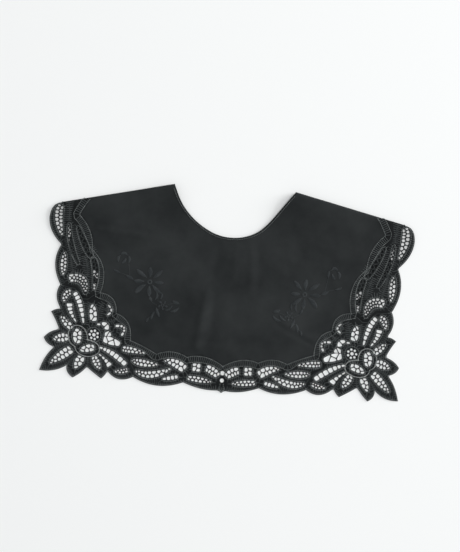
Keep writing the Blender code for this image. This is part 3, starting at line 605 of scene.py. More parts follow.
# %% Materials
Yarn = namedtuple("Yarn", "name dark light rough shine sheen threads bump blotch")
COTTON = ((0.0076, 0.0096, 0.0103), (0.0184, 0.0212, 0.0218))
YARNS = [
    Yarn("black_cotton", *COTTON, 0.72, 0.2, 0.05, 1700, 0.35, 14.0),
    # painted highlight: the binding is drawn a little lighter than the cotton, for the light along the bound
    # neck edge
    Yarn("neck_tape", (0.0105, 0.0126, 0.0131), (0.0195, 0.0222, 0.0225), 0.72, 0.2, 0.05, 1900, 0.35, 40.0),
    Yarn("lace_tape", (0.0052, 0.0063, 0.0068), (0.0112, 0.013, 0.0135), 0.75, 0.12, 0.03, 1100, 0.5, 60.0),
    # painted sheen: bars, corded edges and joins are the cotton's black yarn, given a lighter colour for
    # their shine
    Yarn("lace_thread", (0.028, 0.0325, 0.0335), (0.05, 0.056, 0.0565), 0.6, 0.15, 0.05, 2600, 0.4, 160.0),
    # painted highlight: ribs, rungs and the side's bars are the cotton's black yarn, drawn lighter where
    # raised threads catch the light
    Yarn("rib_thread", (0.042, 0.048, 0.049), (0.075, 0.083, 0.0835), 0.6, 0.15, 0.05, 2600, 0.4, 160.0),
    # painted highlight: the same black yarn as the cotton, drawn pale where raised edge threads catch the
    # light
    Yarn("edge_thread", (0.13, 0.143, 0.143), (0.24, 0.258, 0.253), 0.55, 0.15, 0.06, 2600, 0.4, 160.0),
    Yarn("ring_thread", (0.26, 0.277, 0.271), (0.56, 0.577, 0.56), 0.55, 0.15, 0.06, 2600, 0.4, 120.0),
    # painted sheen: the embroidery thread is drawn lighter than the cotton for the shine of satin stitch
    Yarn("satin_thread", (0.0265, 0.031, 0.0335), (0.043, 0.0485, 0.051), 0.5, 0.15, 0.06, 2600, 0.3, 90.0),
]


def new_material(name, **settings):
    """A material and its shader, with sockets set by name. Spaces in socket names become _."""
    material = bpy.data.materials.new(name)
    material.use_nodes = True
    shader = material.node_tree.nodes["Principled BSDF"]
    for label, value in settings.items():
        shader.inputs[label.replace("_", " ")].default_value = value
    return material, shader


def yarn_material(yarn):
    """A cloth or thread material from its row."""
    material, shader = new_material(
        yarn.name, Roughness=yarn.rough, Sheen_Weight=yarn.sheen, Sheen_Roughness=0.45,
        Specular_IOR_Level=yarn.shine,
    )
    tree = material.node_tree
    weave = tree.nodes.new("ShaderNodeGroup")
    weave.node_tree = WEAVE
    weave.inputs["Threads per metre"].default_value = yarn.threads
    weave.inputs["Blotch size"].default_value = yarn.blotch
    ramp = tree.nodes.new("ShaderNodeValToRGB")
    for stop, position, colour in zip(ramp.color_ramp.elements, (0.36, 0.66), (yarn.dark, yarn.light)):
        stop.position, stop.color = position, (*colour, 1.0)
    tree.links.new(weave.outputs["Blotch"], ramp.inputs["Fac"])
    tree.links.new(ramp.outputs["Color"], shader.inputs["Base Color"])
    bump = tree.nodes.new("ShaderNodeBump")
    bump.inputs["Strength"].default_value = yarn.bump
    bump.inputs["Distance"].default_value = 0.0002
    tree.links.new(weave.outputs["Height"], bump.inputs["Height"])
    tree.links.new(bump.outputs["Normal"], shader.inputs["Normal"])
    return material


MATERIALS = {yarn.name: yarn_material(yarn) for yarn in YARNS}
print("materials:", ", ".join(MATERIALS))

# %% [markdown]
# A needlewoman never makes two gaps alike: she throws loose staggered bars across the space between
# two tapes. Here each gap has a middle, shifted a little with a seed of its filling's own name, and
# is what lies nearer to it than to any other middle, less half a bar all round. Thread pulls such a
# gap round, so its ring is softened at the end.


# %% Gaps in the fillings
def filling_grid(filling):
    """A function from places along and across one filling to flat points."""
    start, middle, end = (np.array(p) for p in (filling.start, filling.middle, filling.end))
    pull = pull_of(start, middle, end)
    w0, w1, w2 = filling.widths

    def place(t, across):
        t, across = np.asarray(t, float)[..., None], np.asarray(across, float)[..., None]
        along = unit(2 * (1 - t) * (pull - start) + 2 * t * (end - pull))
        width = (1 - t) * (1 - 2 * t) * w0 + 4 * t * (1 - t) * w1 + t * (2 * t - 1) * w2
        return bent(t, start, pull, end) - sideways(along) * width * across

    return place


def filling_rim(filling):
    """The space between the tapes that a filling spans, as a ring."""
    t = np.linspace(0.0, 1.0, RIM_STEPS + 1)
    place = filling_grid(filling)
    return np.vstack([place(t, np.full(len(t), -1.0)), place(t, np.full(len(t), 1.0))[::-1]])


def cells(filling):
    """The gaps of one filling, each a smooth ring of points."""
    place, chance = filling_grid(filling), random.Random(filling.name)
    middles = []
    for lane in range(filling.lanes):
        stagger = (lane % 2 - 0.5) / 2 if filling.lanes > 1 else 0.0
        for row in range(filling.rows):
            t = (row + 0.5 + stagger + chance.uniform(-LOOSENESS, LOOSENESS)) / filling.rows
            across = (2 * lane + 1 + chance.uniform(-LOOSENESS, LOOSENESS)) / filling.lanes - 1
            middles.append(place(t, across))
    found = []
    for here in middles:
        ring = filling_rim(filling)
        for other in middles:
            if other is not here and len(ring):
                ring = kept_side(ring, here, other)
        if len(ring) > 2 and narrowness(ring) > LEAST_NARROWNESS:
            found.append(softened(ring))
    return found


def kept_side(ring, here, other):
    """The part of a ring that is nearer here than the other point, less half a bar."""
    way = unit(here - other)
    height = ring @ way - way @ (here + other) / 2 - BAR / 2
    kept = []
    for i in range(len(ring)):
        a, b = height[i - 1], height[i]
        if (a < 0) != (b < 0):
            kept.append(ring[i - 1] + (ring[i] - ring[i - 1]) * a / (a - b))
        if b >= 0:
            kept.append(ring[i])
    return np.array(kept).reshape(-1, 2)


def turned_area(ring):
    """A ring's area, above zero if it runs one way round and below if the other."""
    ahead = np.roll(ring, -1, axis=0)
    return (ring[:, 0] * ahead[:, 1] - ring[:, 1] * ahead[:, 0]).sum() / 2


def narrowness(ring):
    """A ring's area over half its length, which is about half its width."""
    length = np.linalg.norm(ring - np.roll(ring, -1, axis=0), axis=1).sum()
    return 2 * abs(turned_area(ring)) / max(length, 1e-6)


def softened(ring, step=1.0):
    """A ring with even points and its corners drawn in."""
    ring = resampled(ring, step, closed=True)
    for _ in range(2):
        ring = (np.roll(ring, 1, axis=0) + 2 * ring + np.roll(ring, -1, axis=0)) / 4
    return ring


def ringed(ring, out):
    """A closed ring moved away from its own middle."""
    return moved_out(ring, out if turned_area(ring) > 0 else -out, closed=True)


def eyelet_ring(eyelet, count=16):
    """An eyelet's edge."""
    turn = 2 * math.pi * (np.arange(count) + 0.5) / count
    return np.array(eyelet.middle) + np.stack([np.cos(turn), np.sin(turn)], axis=1) * eyelet.radii


FILLINGS = {"side": SIDE_FILLINGS, "corner": CORNER_FILLINGS, "hem": HEM_FILLINGS, "back": BACK_FILLINGS}
GAPS = {name: [ring for filling in rows for ring in cells(filling)] for name, rows in FILLINGS.items()}
GAPS["corner"] += [eyelet_ring(eye) for eye in HUB_EYES]
print("gaps on each half:", {name: len(rings) for name, rings in GAPS.items()})

# %% [markdown]
# A sheet is made by filling its outline, with its gaps as holes, with evenly spaced triangles. That
# is done flat, where it is easy, and only then is every point laid in the scene. Its cut area is
# measured on the way, since that is what a maker would buy cloth by. A Solidify modifier gives the
# wall, and the piece's gaps keep their place because all its points go through the same laying.


# %% Filling a sheet
ROW_HEIGHT = 0.866
EDGE_MARGIN = 0.42


def filled(rings, spacing, lines=()):
    """Points and triangles of a flat piece: an outline and its holes, with points spread inside."""
    starts = np.vstack([segments(ring, True)[0] for ring in rings])
    ends = np.vstack([segments(ring, True)[1] for ring in rings])
    low, high = rings[0].min(0), rings[0].max(0)
    xs = np.arange(low[0], high[0] + spacing, spacing)
    ys = np.arange(low[1], high[1] + spacing, spacing * ROW_HEIGHT)
    grid = np.array([(x + spacing * 0.5 * (row % 2), y) for row, y in enumerate(ys) for x in xs])
    grid = grid[inside(grid, rings)]
    grid = grid[distance_to(grid, starts, ends) > spacing * EDGE_MARGIN]
    for line in lines:
        grid = grid[distance_to(grid, *segments(line)) > spacing * EDGE_MARGIN]
    points, edges = [], []
    for ring in rings:
        edges += [(len(points) + i, len(points) + (i + 1) % len(ring)) for i in range(len(ring))]
        points += [Vector(p) for p in ring]
    for line in lines:
        edges += [(len(points) + i, len(points) + i + 1) for i in range(len(line) - 1)]
        points += [Vector(p) for p in line]
    points += [Vector(p) for p in grid]
    made, _, faces, _, _, _ = delaunay_2d_cdt(points, edges, [], 0, 1e-4)
    made, faces = np.array(made), np.array(faces)
    faces = faces[inside(made[faces].mean(1), rings)]
    a, b, c = made[faces[:, 0]], made[faces[:, 1]], made[faces[:, 2]]
    area = np.cross(np.pad(b - a, ((0, 0), (0, 1))), np.pad(c - a, ((0, 0), (0, 1))))[:, 2].sum() / 2
    return made, faces, abs(area)


def object_from(name, points, faces, material, edges=()):
    """A mesh object in the scene, smooth shaded, with one material."""
    mesh = bpy.data.meshes.new(name)
    mesh.from_pydata([tuple(p) for p in points], list(edges), [tuple(int(i) for i in f) for f in faces])
    mesh.materials.append(MATERIALS[material])
    mesh.shade_smooth()
    piece = bpy.data.objects.new(name, mesh)
    bpy.context.scene.collection.objects.link(piece)
    return piece


def baked(piece):
    """The piece with its modifiers made part of its mesh."""
    graph = bpy.context.evaluated_depsgraph_get()
    mesh = bpy.data.meshes.new_from_object(piece.evaluated_get(graph))
    old = piece.data
    piece.modifiers.clear()
    piece.data = mesh
    mesh.name = piece.name
    bpy.data.meshes.remove(old)
    return piece


def sheet(name, rings, wall, spacing, material, lay=on_top, lines=(), lift=0.0):
    """A sheet of cloth, cut flat, laid and given its wall. Returns the piece, its flat size and area."""
    flat, faces, area = filled(rings, spacing, lines)
    used = np.unique(faces)
    order = np.zeros(len(flat), int)
    order[used] = np.arange(len(used))
    faces = order[faces][:, ::-1]
    piece = object_from(name, placed(flat[used], lift, lay), faces, material)
    solid = piece.modifiers.new("wall", "SOLIDIFY")
    solid.thickness = wall * MM
    solid.offset = 0.0
    baked(piece)
    width, depth = (rings[0].max(0) - rings[0].min(0)) * MM
    area *= MM**2
    print(f"{name}: {len(piece.data.polygons)} faces, cut {width:.3f} x {depth:.3f} m, {area:.4f} m2")
    return piece, (width, depth), area


# %% [markdown]
# The front is cut with its neck and its scalloped edge in one piece. Its shoulder edges wrap round
# the fold, where extra lines of points let the sheet bend in a smooth roll instead of a sharp turn.


# %% The cotton front
CLOTH_WALL = 0.6
CLOTH_SPACING = 3.2
CLOTH_STEP = 2.6
ROLL_STEP = 1.1
ROLL_EDGE_STEP = 0.9
ROLL_LINE_STEP = 3.5


def past_fold(along):
    """The edge of a front piece round the shoulder roll, from the table up."""
    inner = np.arange(BEND - ROLL_LENGTH, -1.0, ROLL_EDGE_STEP)
    return on_fold(np.full(len(inner), along), inner)


def roll_lines(start, end, sides=(1, -1)):
    """Lines along the shoulder roll for the sheet to bend at."""
    lines = []
    for inner in np.arange(BEND - ROLL_LENGTH + 1.0, BEND + 1.0, ROLL_STEP):
        along = np.arange(start, end, ROLL_LINE_STEP)
        line = on_fold(along, np.full(len(along), inner))
        lines += [line * [side, 1] for side in sides]
    return lines


neck_half = neck_line()
cloth_edge = edge_line(CLOTH_EDGE, CLOTH_STEP)
half = np.vstack([neck_half, past_fold(0.0)[::-1], past_fold(SHOULDER_TO_SEAM), cloth_edge])
front_ring = np.vstack([half, mirrored(half)[1:-1]])
front, front_size, front_area = sheet(
    "cotton_front", [front_ring], CLOTH_WALL, CLOTH_SPACING, "black_cotton",
    lines=roll_lines(2.0, SHOULDER_TO_SEAM - 2.0),
)

# %% [markdown]
# The back half is folded underneath and nothing of it shows but a sliver inside the neck and some
# darkness behind the lace, so it is made plainly: two cotton halves and their lace, all flat.

# %% The folded-under back
BACK_CLOTH_SPACING = 8.0
BACK_LACE_SPACING = 6.0
SIDES = (("left", lambda line: line), ("right", mirrored))
back_start = BEND + SEAM_GAP
back_hem = edge_line(BACK_CLOTH_EDGE, 5.0)[1:]
back_seam = moved_out(back_hem, SEAM_GAP)
back_edge = edge_line(BACK_OUTER_EDGE, 3.0)[1:]
back_neck = neck_half[(neck_half[:, 0] > CENTRE_BACK_SLIT) & (fold_place(neck_half)[1] > BEND + 1)]
cloth_shoulder = on_fold(np.array([0.0, SHOULDER_TO_SEAM]), back_start)
lace_shoulder = on_fold(np.array([SHOULDER_TO_SEAM + SEAM_GAP, BACK_SHOULDER_TO_EDGE]), back_start)
back_cloth = np.vstack([[(CENTRE_BACK_SLIT, back_neck[0][1])], back_neck, cloth_shoulder, back_hem])
back_lace = np.vstack([lace_shoulder, back_edge, back_seam[::-1]])
band = (
    distance_to(back_edge, *segments(back_seam)).max() * MM,
    np.linalg.norm(np.diff(back_edge, axis=0), axis=1).sum() * MM,
)
back_pieces = []
for word, turned in SIDES:
    panel = sheet(
        f"cotton_back_{word}", [turned(back_cloth)], CLOTH_WALL, BACK_CLOTH_SPACING, "black_cotton", below
    )
    rings = [turned(ring) for ring in [back_lace] + GAPS["back"]]
    tape, _, area = sheet(
        f"lace_back_{word}_tape", rings, CLOTH_WALL, BACK_LACE_SPACING, "lace_tape", below
    )
    back_pieces += [(panel, f"back_panel_{word}"), ((tape, band, area), f"lace_back_{word}")]

# %% [markdown]
# The lace border is made in five lengths, as its tapes are joined: a side and a corner at each end
# and the hem between. The joins follow the same lines as in the solids.


# %% The lace plates
def part_of(line, start, end):
    """The stretch of a line between two of its points."""
    return line[nearest(line, start) : nearest(line, end) + 1]


def lace_rim(section):
    """The right-hand outline of a length of the front's lace border."""
    outer, seam = edge_line(OUTER_EDGE), moved_out(cloth_edge, SEAM_GAP)
    upper, lower, half_gap = JOINS["side"], JOINS["corner"], SEAM_GAP / 2
    if section == "side":
        rim = np.vstack([past_fold(SHOULDER_TO_EDGE), part_of(outer, outer[0], LOOP_START)[:-1]])
        inner = part_of(seam, seam[0], SCROLL_START)[:-1][::-1]
        end = past_fold(SHOULDER_TO_SEAM + SEAM_GAP)[::-1]
        return np.vstack([rim, moved_out(upper, -half_gap), inner, end])
    if section == "corner":
        rim = part_of(outer, LOOP_START, HEM_START)[1:-1]
        inner = part_of(seam, SCROLL_START, SWEEP_START)[1:-1][::-1]
        return np.vstack([moved_out(upper, half_gap)[::-1], rim, moved_out(lower, -half_gap), inner])
    rim = part_of(outer, HEM_START, outer[-1])[1:]
    inner = part_of(seam, SWEEP_START, seam[-1])[1:][::-1]
    return np.vstack([inner, moved_out(lower, half_gap)[::-1], rim])


LACE_PLATE = 0.5
LACE_SPACING = 3.0
lace = {}


def lace_sheet(name, rings, lines=()):
    """The tape of one length of the front's lace, kept under the name of its solid."""
    lace[name] = sheet(f"{name}_plate", rings, LACE_PLATE, LACE_SPACING, "lace_tape", lines=lines)


for word, turned in SIDES:
    for section in ("side", "corner"):
        rings = [turned(ring) for ring in [lace_rim(section)] + GAPS[section]]
        lines = roll_lines(SHOULDER_TO_SEAM + 6.0, SHOULDER_TO_EDGE - 2.0, (1 if word == "left" else -1,))
        lace_sheet(f"lace_{section}_{word}", rings, lines if section == "side" else ())
half = lace_rim("hem")
centre_rings = [eyelet_ring(eye) for eye in CENTRE_EYES]
hem_ring = np.vstack([half[:-1], mirrored(half)[:-1]])
lace_sheet("lace_hem", [hem_ring] + GAPS["hem"] + [mirrored(gap) for gap in GAPS["hem"]] + centre_rings)

# %% [markdown]
# Everything raised on the lace is thread, and all of it is made by two Geometry Nodes trees. The
# first turns a drawn line into a cord, for the bars, the tapes' corded edges, the joins, the stems
# and the neck's rolled edge. The second sets a short thread on every point of a drawn cloud, turned
# along the direction stored there, for the tapes' ribs, the ladder's rungs, every running stitch and
# the satin petals.


# %% Geometry Nodes helpers
pieces = {}


def new_tree(name, inputs):
    """An empty Geometry Nodes tree with its inputs, ready to be filled."""
    tree = bpy.data.node_groups.new(name, "GeometryNodeTree")
    tree.interface.new_socket("Geometry", in_out="INPUT", socket_type="NodeSocketGeometry")
    for label, kind, value in inputs:
        socket = tree.interface.new_socket(label, in_out="INPUT", socket_type=kind)
        if value is not None:
            socket.default_value = value
    tree.interface.new_socket("Geometry", in_out="OUTPUT", socket_type="NodeSocketGeometry")
    return tree, tree.nodes.new("NodeGroupInput").outputs, tree.nodes.new("NodeGroupOutput")


def node(tree, kind, **feeds):
    """A node with its sockets fed by other sockets or by values. Spaces in socket names become _."""
    made = tree.nodes.new(kind)
    for label, value in feeds.items():
        socket = made.inputs[label.replace("_", " ")]
        if isinstance(value, bpy.types.NodeSocket):
            tree.links.new(value, socket)
        else:
            socket.default_value = value
    return made


def stored(tree, name, kind):
    """The value stored under that name on each point."""
    made = node(tree, "GeometryNodeInputNamedAttribute", Name=name)
    made.data_type = kind
    return made.outputs["Attribute"]


def grown(guide, tree, yarn, **inputs):
    """Runs a tree on a drawn guide, keeps the result as its mesh and lists it among the pieces."""
    modifier = guide.modifiers.new(tree.name, "NODES")
    modifier.node_group = tree
    inputs["Material"] = MATERIALS[yarn]
    for item in tree.interface.items_tree:
        if item.in_out == "INPUT" and item.name in inputs:
            modifier[item.identifier] = inputs[item.name]
    baked(guide).data.shade_smooth()
    pieces[guide.name] = guide
    print(f"{guide.name}: {len(guide.data.polygons)} faces")
    return guide


def tube(tree, given, curve):
    """A curve made round, with the radius and number of sides that the tree is given."""
    ring = node(tree, "GeometryNodeCurvePrimitiveCircle", Resolution=given["Sides"], Radius=given["Radius"])
    made = node(tree, "GeometryNodeCurveToMesh", Curve=curve, Profile_Curve=ring.outputs[0], Fill_Caps=True)
    return made.outputs[0]


def ended(tree, given, made, geometry):
    """The end of both trees: real meshes in the piece's own material."""
    solid = node(tree, "GeometryNodeRealizeInstances", Geometry=geometry)
    dyed = node(tree, "GeometryNodeSetMaterial", Geometry=solid.outputs[0], Material=given["Material"])
    tree.links.new(dyed.outputs[0], made.inputs[0])
    return tree


# %% The cord tree
def cord_tree():
    """Lines of edges become round cords."""
    tree, given, made = new_tree("cord", [
        ("Radius", "NodeSocketFloat", 0.0004),
        ("Sides", "NodeSocketInt", 6),
        ("Material", "NodeSocketMaterial", None),
    ])
    line = node(tree, "GeometryNodeMeshToCurve", Mesh=given["Geometry"])
    return ended(tree, given, made, tube(tree, given, line.outputs[0]))


CORD = cord_tree()


# %% The thread tree
def thread_tree():
    """Every point becomes a short thread along its stored direction, bowed up off the sheet."""
    tree, given, made = new_tree("threads", [
        ("Radius", "NodeSocketFloat", 0.00016),
        ("Bow", "NodeSocketFloat", 0.0002),
        ("Unevenness", "NodeSocketFloat", 0.12),
        ("Sides", "NodeSocketInt", 4),
        ("Steps", "NodeSocketInt", 3),
        ("Seed", "NodeSocketInt", 3),
        ("Material", "NodeSocketMaterial", None),
    ])
    line = node(tree, "GeometryNodeCurvePrimitiveLine", Start=(-1.0, 0.0, 0.0), End=(1.0, 0.0, 0.0))
    fine = node(tree, "GeometryNodeResampleCurve", Curve=line.outputs[0], Count=given["Steps"])
    axes = node(tree, "ShaderNodeSeparateXYZ", Vector=tree.nodes.new("GeometryNodeInputPosition").outputs[0])
    sag = math_node(tree, "SUBTRACT", 1.0, math_node(tree, "POWER", axes.outputs["X"], 2.0))
    rise = node(tree, "ShaderNodeCombineXYZ", Z=math_node(tree, "MULTIPLY", sag, given["Bow"]))
    round_thread = tube(tree, given, fine.outputs[0])
    bowed = node(tree, "GeometryNodeSetPosition", Geometry=round_thread, Offset=rise.outputs[0])
    run, up = (stored(tree, name, "FLOAT_VECTOR") for name in ("run", "up"))
    along = node(tree, "FunctionNodeAlignRotationToVector", Vector=run)
    along.axis = "X"
    upright = node(tree, "FunctionNodeAlignRotationToVector", Rotation=along.outputs[0], Vector=up)
    upright.axis, upright.pivot_axis = "Z", "X"
    least = math_node(tree, "SUBTRACT", 1.0, given["Unevenness"])
    most = math_node(tree, "ADD", 1.0, given["Unevenness"])
    loose = node(tree, "FunctionNodeRandomValue", Seed=given["Seed"])
    tree.links.new(least, loose.inputs[2])
    tree.links.new(most, loose.inputs[3])
    reach, thick = stored(tree, "reach", "FLOAT"), loose.outputs[1]
    size = node(tree, "ShaderNodeCombineXYZ", X=reach, Y=thick, Z=thick)
    cloud = node(tree, "GeometryNodeMeshToPoints", Mesh=given["Geometry"])
    sewn = node(
        tree, "GeometryNodeInstanceOnPoints", Points=cloud.outputs[0], Instance=bowed.outputs[0],
        Rotation=upright.outputs[0], Scale=size.outputs[0],
    )
    return ended(tree, given, made, sewn.outputs[0])


THREADS = thread_tree()
print("trees:", CORD.name, len(CORD.nodes), "nodes;", THREADS.name, len(THREADS.nodes), "nodes")

# %% [markdown]
# A guide is drawn flat like everything else, then laid. Where threads go, each point also stores
# which way its thread runs and how far it reaches, both taken from the two laid ends. One table says
# how thick each kind of thread is and how high it lies, and a piece is named after its kind.


# %% Cords and threads on the sheet
Kind = namedtuple("Kind", "yarn radius lift sides bow steps uneven", defaults=(6, 0.2, 3, 0.12))
KINDS = {
    "bars": Kind("lace_thread", 0.32, 0.02, 5),
    "edges": Kind("lace_thread", 0.36, 0.2),
    "joins": Kind("lace_thread", 0.42, 0.12),
    "fine": Kind("edge_thread", 0.33, 0.72, 4, bow=0.1),
    "ribs": Kind("rib_thread", 0.5, 0.1, 4, bow=0.15),
    "rungs": Kind("rib_thread", 0.5, 0.3, steps=5),
    "rings": Kind("ring_thread", 0.5, 0.6, bow=0.15),
    "roll": Kind("neck_tape", 0.5, 0.35, 8),
    "stitches": Kind("edge_thread", 0.2, 0.86, 4, bow=0.1),
    "satin": Kind("satin_thread", 0.23, 0.36, 4, bow=0.42, steps=5, uneven=0.08),
    "stems": Kind("satin_thread", 0.2, 0.34),
    "eyes": Kind("satin_thread", 0.42, 0.45),
}
# the side's bars take the lighter rib colour, a painted highlight
SIDE_BARS = KINDS["bars"]._replace(yarn="rib_thread")


def cords(place, kind, lines, look=None):
    """Cords of one kind along flat lines, each given as (points, closed)."""
    look = look or KINDS[kind]
    edges, first = [], 0
    for line, closed in lines:
        last = first + len(line) - 1
        edges += [(i, i + 1) for i in range(first, last)]
        edges += [(last, first)] if closed else []
        first = last + 1
    points = placed(np.vstack([line for line, _ in lines]), look.lift)
    guide = object_from(f"{place}_{kind}", points, [], look.yarn, edges)
    return grown(guide, CORD, look.yarn, Radius=look.radius * MM, Sides=look.sides)


def threads(place, kind, starts, ends):
    """Short threads of one kind between pairs of flat points."""
    look = KINDS[kind]
    a, b = placed(starts, look.lift), placed(ends, look.lift)
    guide = object_from(f"{place}_{kind}", (a + b) / 2, [], look.yarn)
    for label, form, field, values in (
        ("run", "FLOAT_VECTOR", "vector", unit(b - a)),
        ("up", "FLOAT_VECTOR", "vector", sheet_up((starts + ends) / 2)),
        ("reach", "FLOAT", "value", np.linalg.norm(b - a, axis=1) / 2),
    ):
        guide.data.attributes.new(label, form, "POINT").data.foreach_set(field, np.ravel(values))
    return grown(
        guide, THREADS, look.yarn, Radius=look.radius * MM, Bow=look.bow * MM,
        Sides=look.sides, Steps=look.steps, Unevenness=look.uneven,
    )


# %% [markdown]
# The lace's own drawing comes next, on one half of the cut. Each gap in a filling is ringed by a
# thread, so that two rings side by side make the thick twisted bar between two gaps. Each tape has a
# corded edge, and a row of running stitches goes about a millimetre inside it, drawn pale as a
# painted highlight.


# %% Lines of the lace
LACE_STEP = 1.6
TAPE_STEP = 1.4


def runs(line, kept, closed=False, least=4):
    """The stretches of a line whose points are kept, as open lines, or the whole ring if all are."""
    if kept.all():
        return [(line, closed)]
    if closed:
        turn = int(np.argmin(kept))
        line, kept = np.roll(line, -turn, axis=0), np.roll(kept, -turn)
    breaks = np.flatnonzero(np.diff(np.concatenate([[0], kept.astype(int), [0]])))
    return [(line[a:b], False) for a, b in zip(breaks[::2], breaks[1::2]) if b - a >= least]


def inset(line, by):
    """An edge line moved into the lace, without the loops that would form at sharp points."""
    moved = resampled(moved_out(line, -by), LACE_STEP)
    return moved[distance_to(moved, *segments(line)) > 0.88 * by]


def both_segments(lines):
    """The segments of many lines, open or closed."""
    pairs = [segments(line, closed) for line, closed in lines]
    return np.vstack([a for a, _ in pairs]), np.vstack([b for _, b in pairs])


def straight(start, end, bend=0.0):
    """A line between two points, bowed sideways by that much at its middle."""
    start, end = np.array(start), np.array(end)
    through = (start + end) / 2 - bend * sideways(unit(end - start))
    return curve_points(start, through, end, max(3, round(math.dist(start, end) / LACE_STEP) + 1))


def stitches_along(lines, pitch=2.3, length=1.5):
    """Starts and ends of even stitches, one after another along flat lines."""
    starts, ends = [], []
    for line, closed in lines:
        spots = resampled(line, pitch, closed)
        half_stitch = heading(spots) * length / 2
        starts.append(spots - half_stitch)
        ends.append(spots + half_stitch)
    return np.vstack(starts), np.vstack(ends)


DIVIDES = {
    "side": [
        ((219.0, 34.0), (217.5, 58.0), 1.0),
        ((211.5, 97.0), (205.0, 130.0), -1.5),
        ((192.5, 105.0), (186.5, 133.0), 1.5),
    ],
    "corner": [
        ((218.0, 180.0), (206.0, 196.0), -0.8),
        ((218.5, 207.0), (204.8, 211.0), 0.6),
        ((223.5, 231.0), (203.8, 224.0), 0.8),
        ((206.0, 253.5), (194.2, 238.2), 0.8),
        ((179.5, 253.0), (180.0, 238.6), -0.6),
        ((150.0, 256.5), (163.0, 238.4), -0.8),
        ((180.5, 168.0), (184.0, 196.0), -1.5),
        ((163.0, 166.0), (167.0, 188.0), -2.0),
        ((141.0, 186.0), (150.5, 190.5), -1.0),
    ],
    "hem": [],
}
HUB_TAPE = Eyelet(HUB_MIDDLE, (9.8, 9.8))
CENTRE_TAPE = ((2.2, 261.5), (2.5, 269.5))
outer = edge_line(OUTER_EDGE, LACE_STEP)
RIMS = {
    "side": np.vstack([past_fold(SHOULDER_TO_EDGE)[3:], part_of(outer, outer[0], LOOP_START)]),
    "corner": part_of(outer, LOOP_START, HEM_START),
    "hem": part_of(outer, HEM_START, outer[-1]),
}
SPANS = {
    name: [ringed(softened(filling_rim(filling), TAPE_STEP), 0.45) for filling in FILLINGS[name]]
    for name in RIMS
}
ALL_SPANS = [ring for rings in SPANS.values() for ring in rings]


def clear_runs(line, ring, room, more=()):
    """The stretches of a line round one span that keep that far from the other spans and lines."""
    others = [other for other in ALL_SPANS if other is not ring]
    clear = distance_to(line, *both_segments([(other, True) for other in others] + list(more))) > room
    return runs(line, clear & ~inside(line, others), closed=True)


TAPE_ROOM = 0.9
TAPES = {
    name: [
        (run, closed, math.copysign(1.0, turned_area(ring)))
        for ring in SPANS[name]
        for run, closed in clear_runs(ring, ring, TAPE_ROOM)
    ]
    for name in RIMS
}
HALF_HOLES = [(gap, True) for gap in [gap for name in RIMS for gap in GAPS[name]] + centre_rings]
print("rims:", {name: len(line) for name, line in RIMS.items()}, "tape edges:", sum(map(len, TAPES.values())))

# %% [markdown]
# Where the lace meets the cotton the tape is worked as a ladder: a row of stitches down each side
# and a rung between them at every other point, a little under three millimetres apart. Its width
# follows the room that the fillings leave it, evened out along the seam.

# %% The ladder seam
LADDER_STEP = 1.35
LADDER_WIDTHS = (3.4, 7.4)
LADDER_MARGIN = 1.5
LADDER_OVERLAP = 0.7
RUNG_MARGIN = 0.3
seam_line = resampled(edge_line(CLOTH_EDGE, LACE_STEP)[2:], LADDER_STEP)
room = distance_to(seam_line, *both_segments(HALF_HOLES))
room = np.clip(room - LADDER_MARGIN, *LADDER_WIDTHS)
room = np.convolve(np.pad(room, 4, mode="edge"), np.ones(9) / 9, mode="valid")
away = sideways(heading(seam_line))
ladder_inner = seam_line - LADDER_OVERLAP * away
ladder_outer = seam_line + room[:, None] * away
open_part = distance_to(ladder_outer, *segments(seam_line)) > 0.9 * room
rung_places = np.flatnonzero(open_part)[::2]
rung_starts = (ladder_inner + RUNG_MARGIN * away)[rung_places]
rung_ends = (ladder_outer - RUNG_MARGIN * away)[rung_places]
print("ladder:", len(rung_starts), "rungs, width", np.round(room.min(), 1), "to", np.round(room.max(), 1))

# %% [markdown]
# The ribs of a tape run square across it. They are found by walking: from each corded edge a rib
# sets off into the tape and stops where some other edge is nearer than the one it came from, which
# is the tape's middle line. So no tape's course has to be written down, only the fillings' places.


# %% Walking the ribs
RIB_STEP = 2.7
RIB_REACH = 7.5
RIB_MARGIN = 0.35
LEAST_RIB = 0.7
RIB_MARKS = np.arange(0.6, RIB_REACH, 0.3)


def ribs_from(lines, walls):
    """Starts and ends of ribs that leave each line sideways until another wall is nearer."""
    spots, ways = [], []
    for line, closed, side in lines:
        spots.append(resampled(line, RIB_STEP, closed))
        ways.append(side * sideways(heading(spots[-1], closed)))
    spots, ways = np.vstack(spots), np.vstack(ways)
    places = spots[:, None] + RIB_MARKS[None, :, None] * ways[:, None]
    gap = distance_to(places.reshape(-1, 2), *walls).reshape(len(spots), len(RIB_MARKS))
    stopped = gap < RIB_MARKS[None] - 0.22
    last = np.where(stopped.any(1), RIB_MARKS[np.argmax(stopped, axis=1)], RIB_REACH) - RIB_MARGIN
    long_enough = last > RIB_MARGIN + LEAST_RIB
    return (spots + RIB_MARGIN * ways)[long_enough], (spots + last[:, None] * ways)[long_enough]


divides = {name: [(straight(*row), False) for row in rows] for name, rows in DIVIDES.items()}
hub_tape = eyelet_ring(HUB_TAPE, 40)
all_divides = [line for lines in divides.values() for line in lines]
walls = [(RIMS[name], False) for name in RIMS] + [(ring, True) for ring in ALL_SPANS]
walls += runs(ladder_outer, open_part) + all_divides
walls += [(np.array(cut), False) for cut in (SIDE_TO_CORNER, CORNER_TO_HEM)] + HALF_HOLES
WALLS = both_segments(walls)
RIBS = {}
for name in RIMS:
    lines = [(RIMS[name], False, -1)] + TAPES[name]
    lines += [(line, False, side) for line, _ in divides[name] for side in (1, -1)]
    lines += [(hub_tape, True, side) for side in (1, -1)] if name == "corner" else []
    RIBS[name] = ribs_from(lines, WALLS)
    print(f"{name}: {len(RIBS[name][0])} ribs")

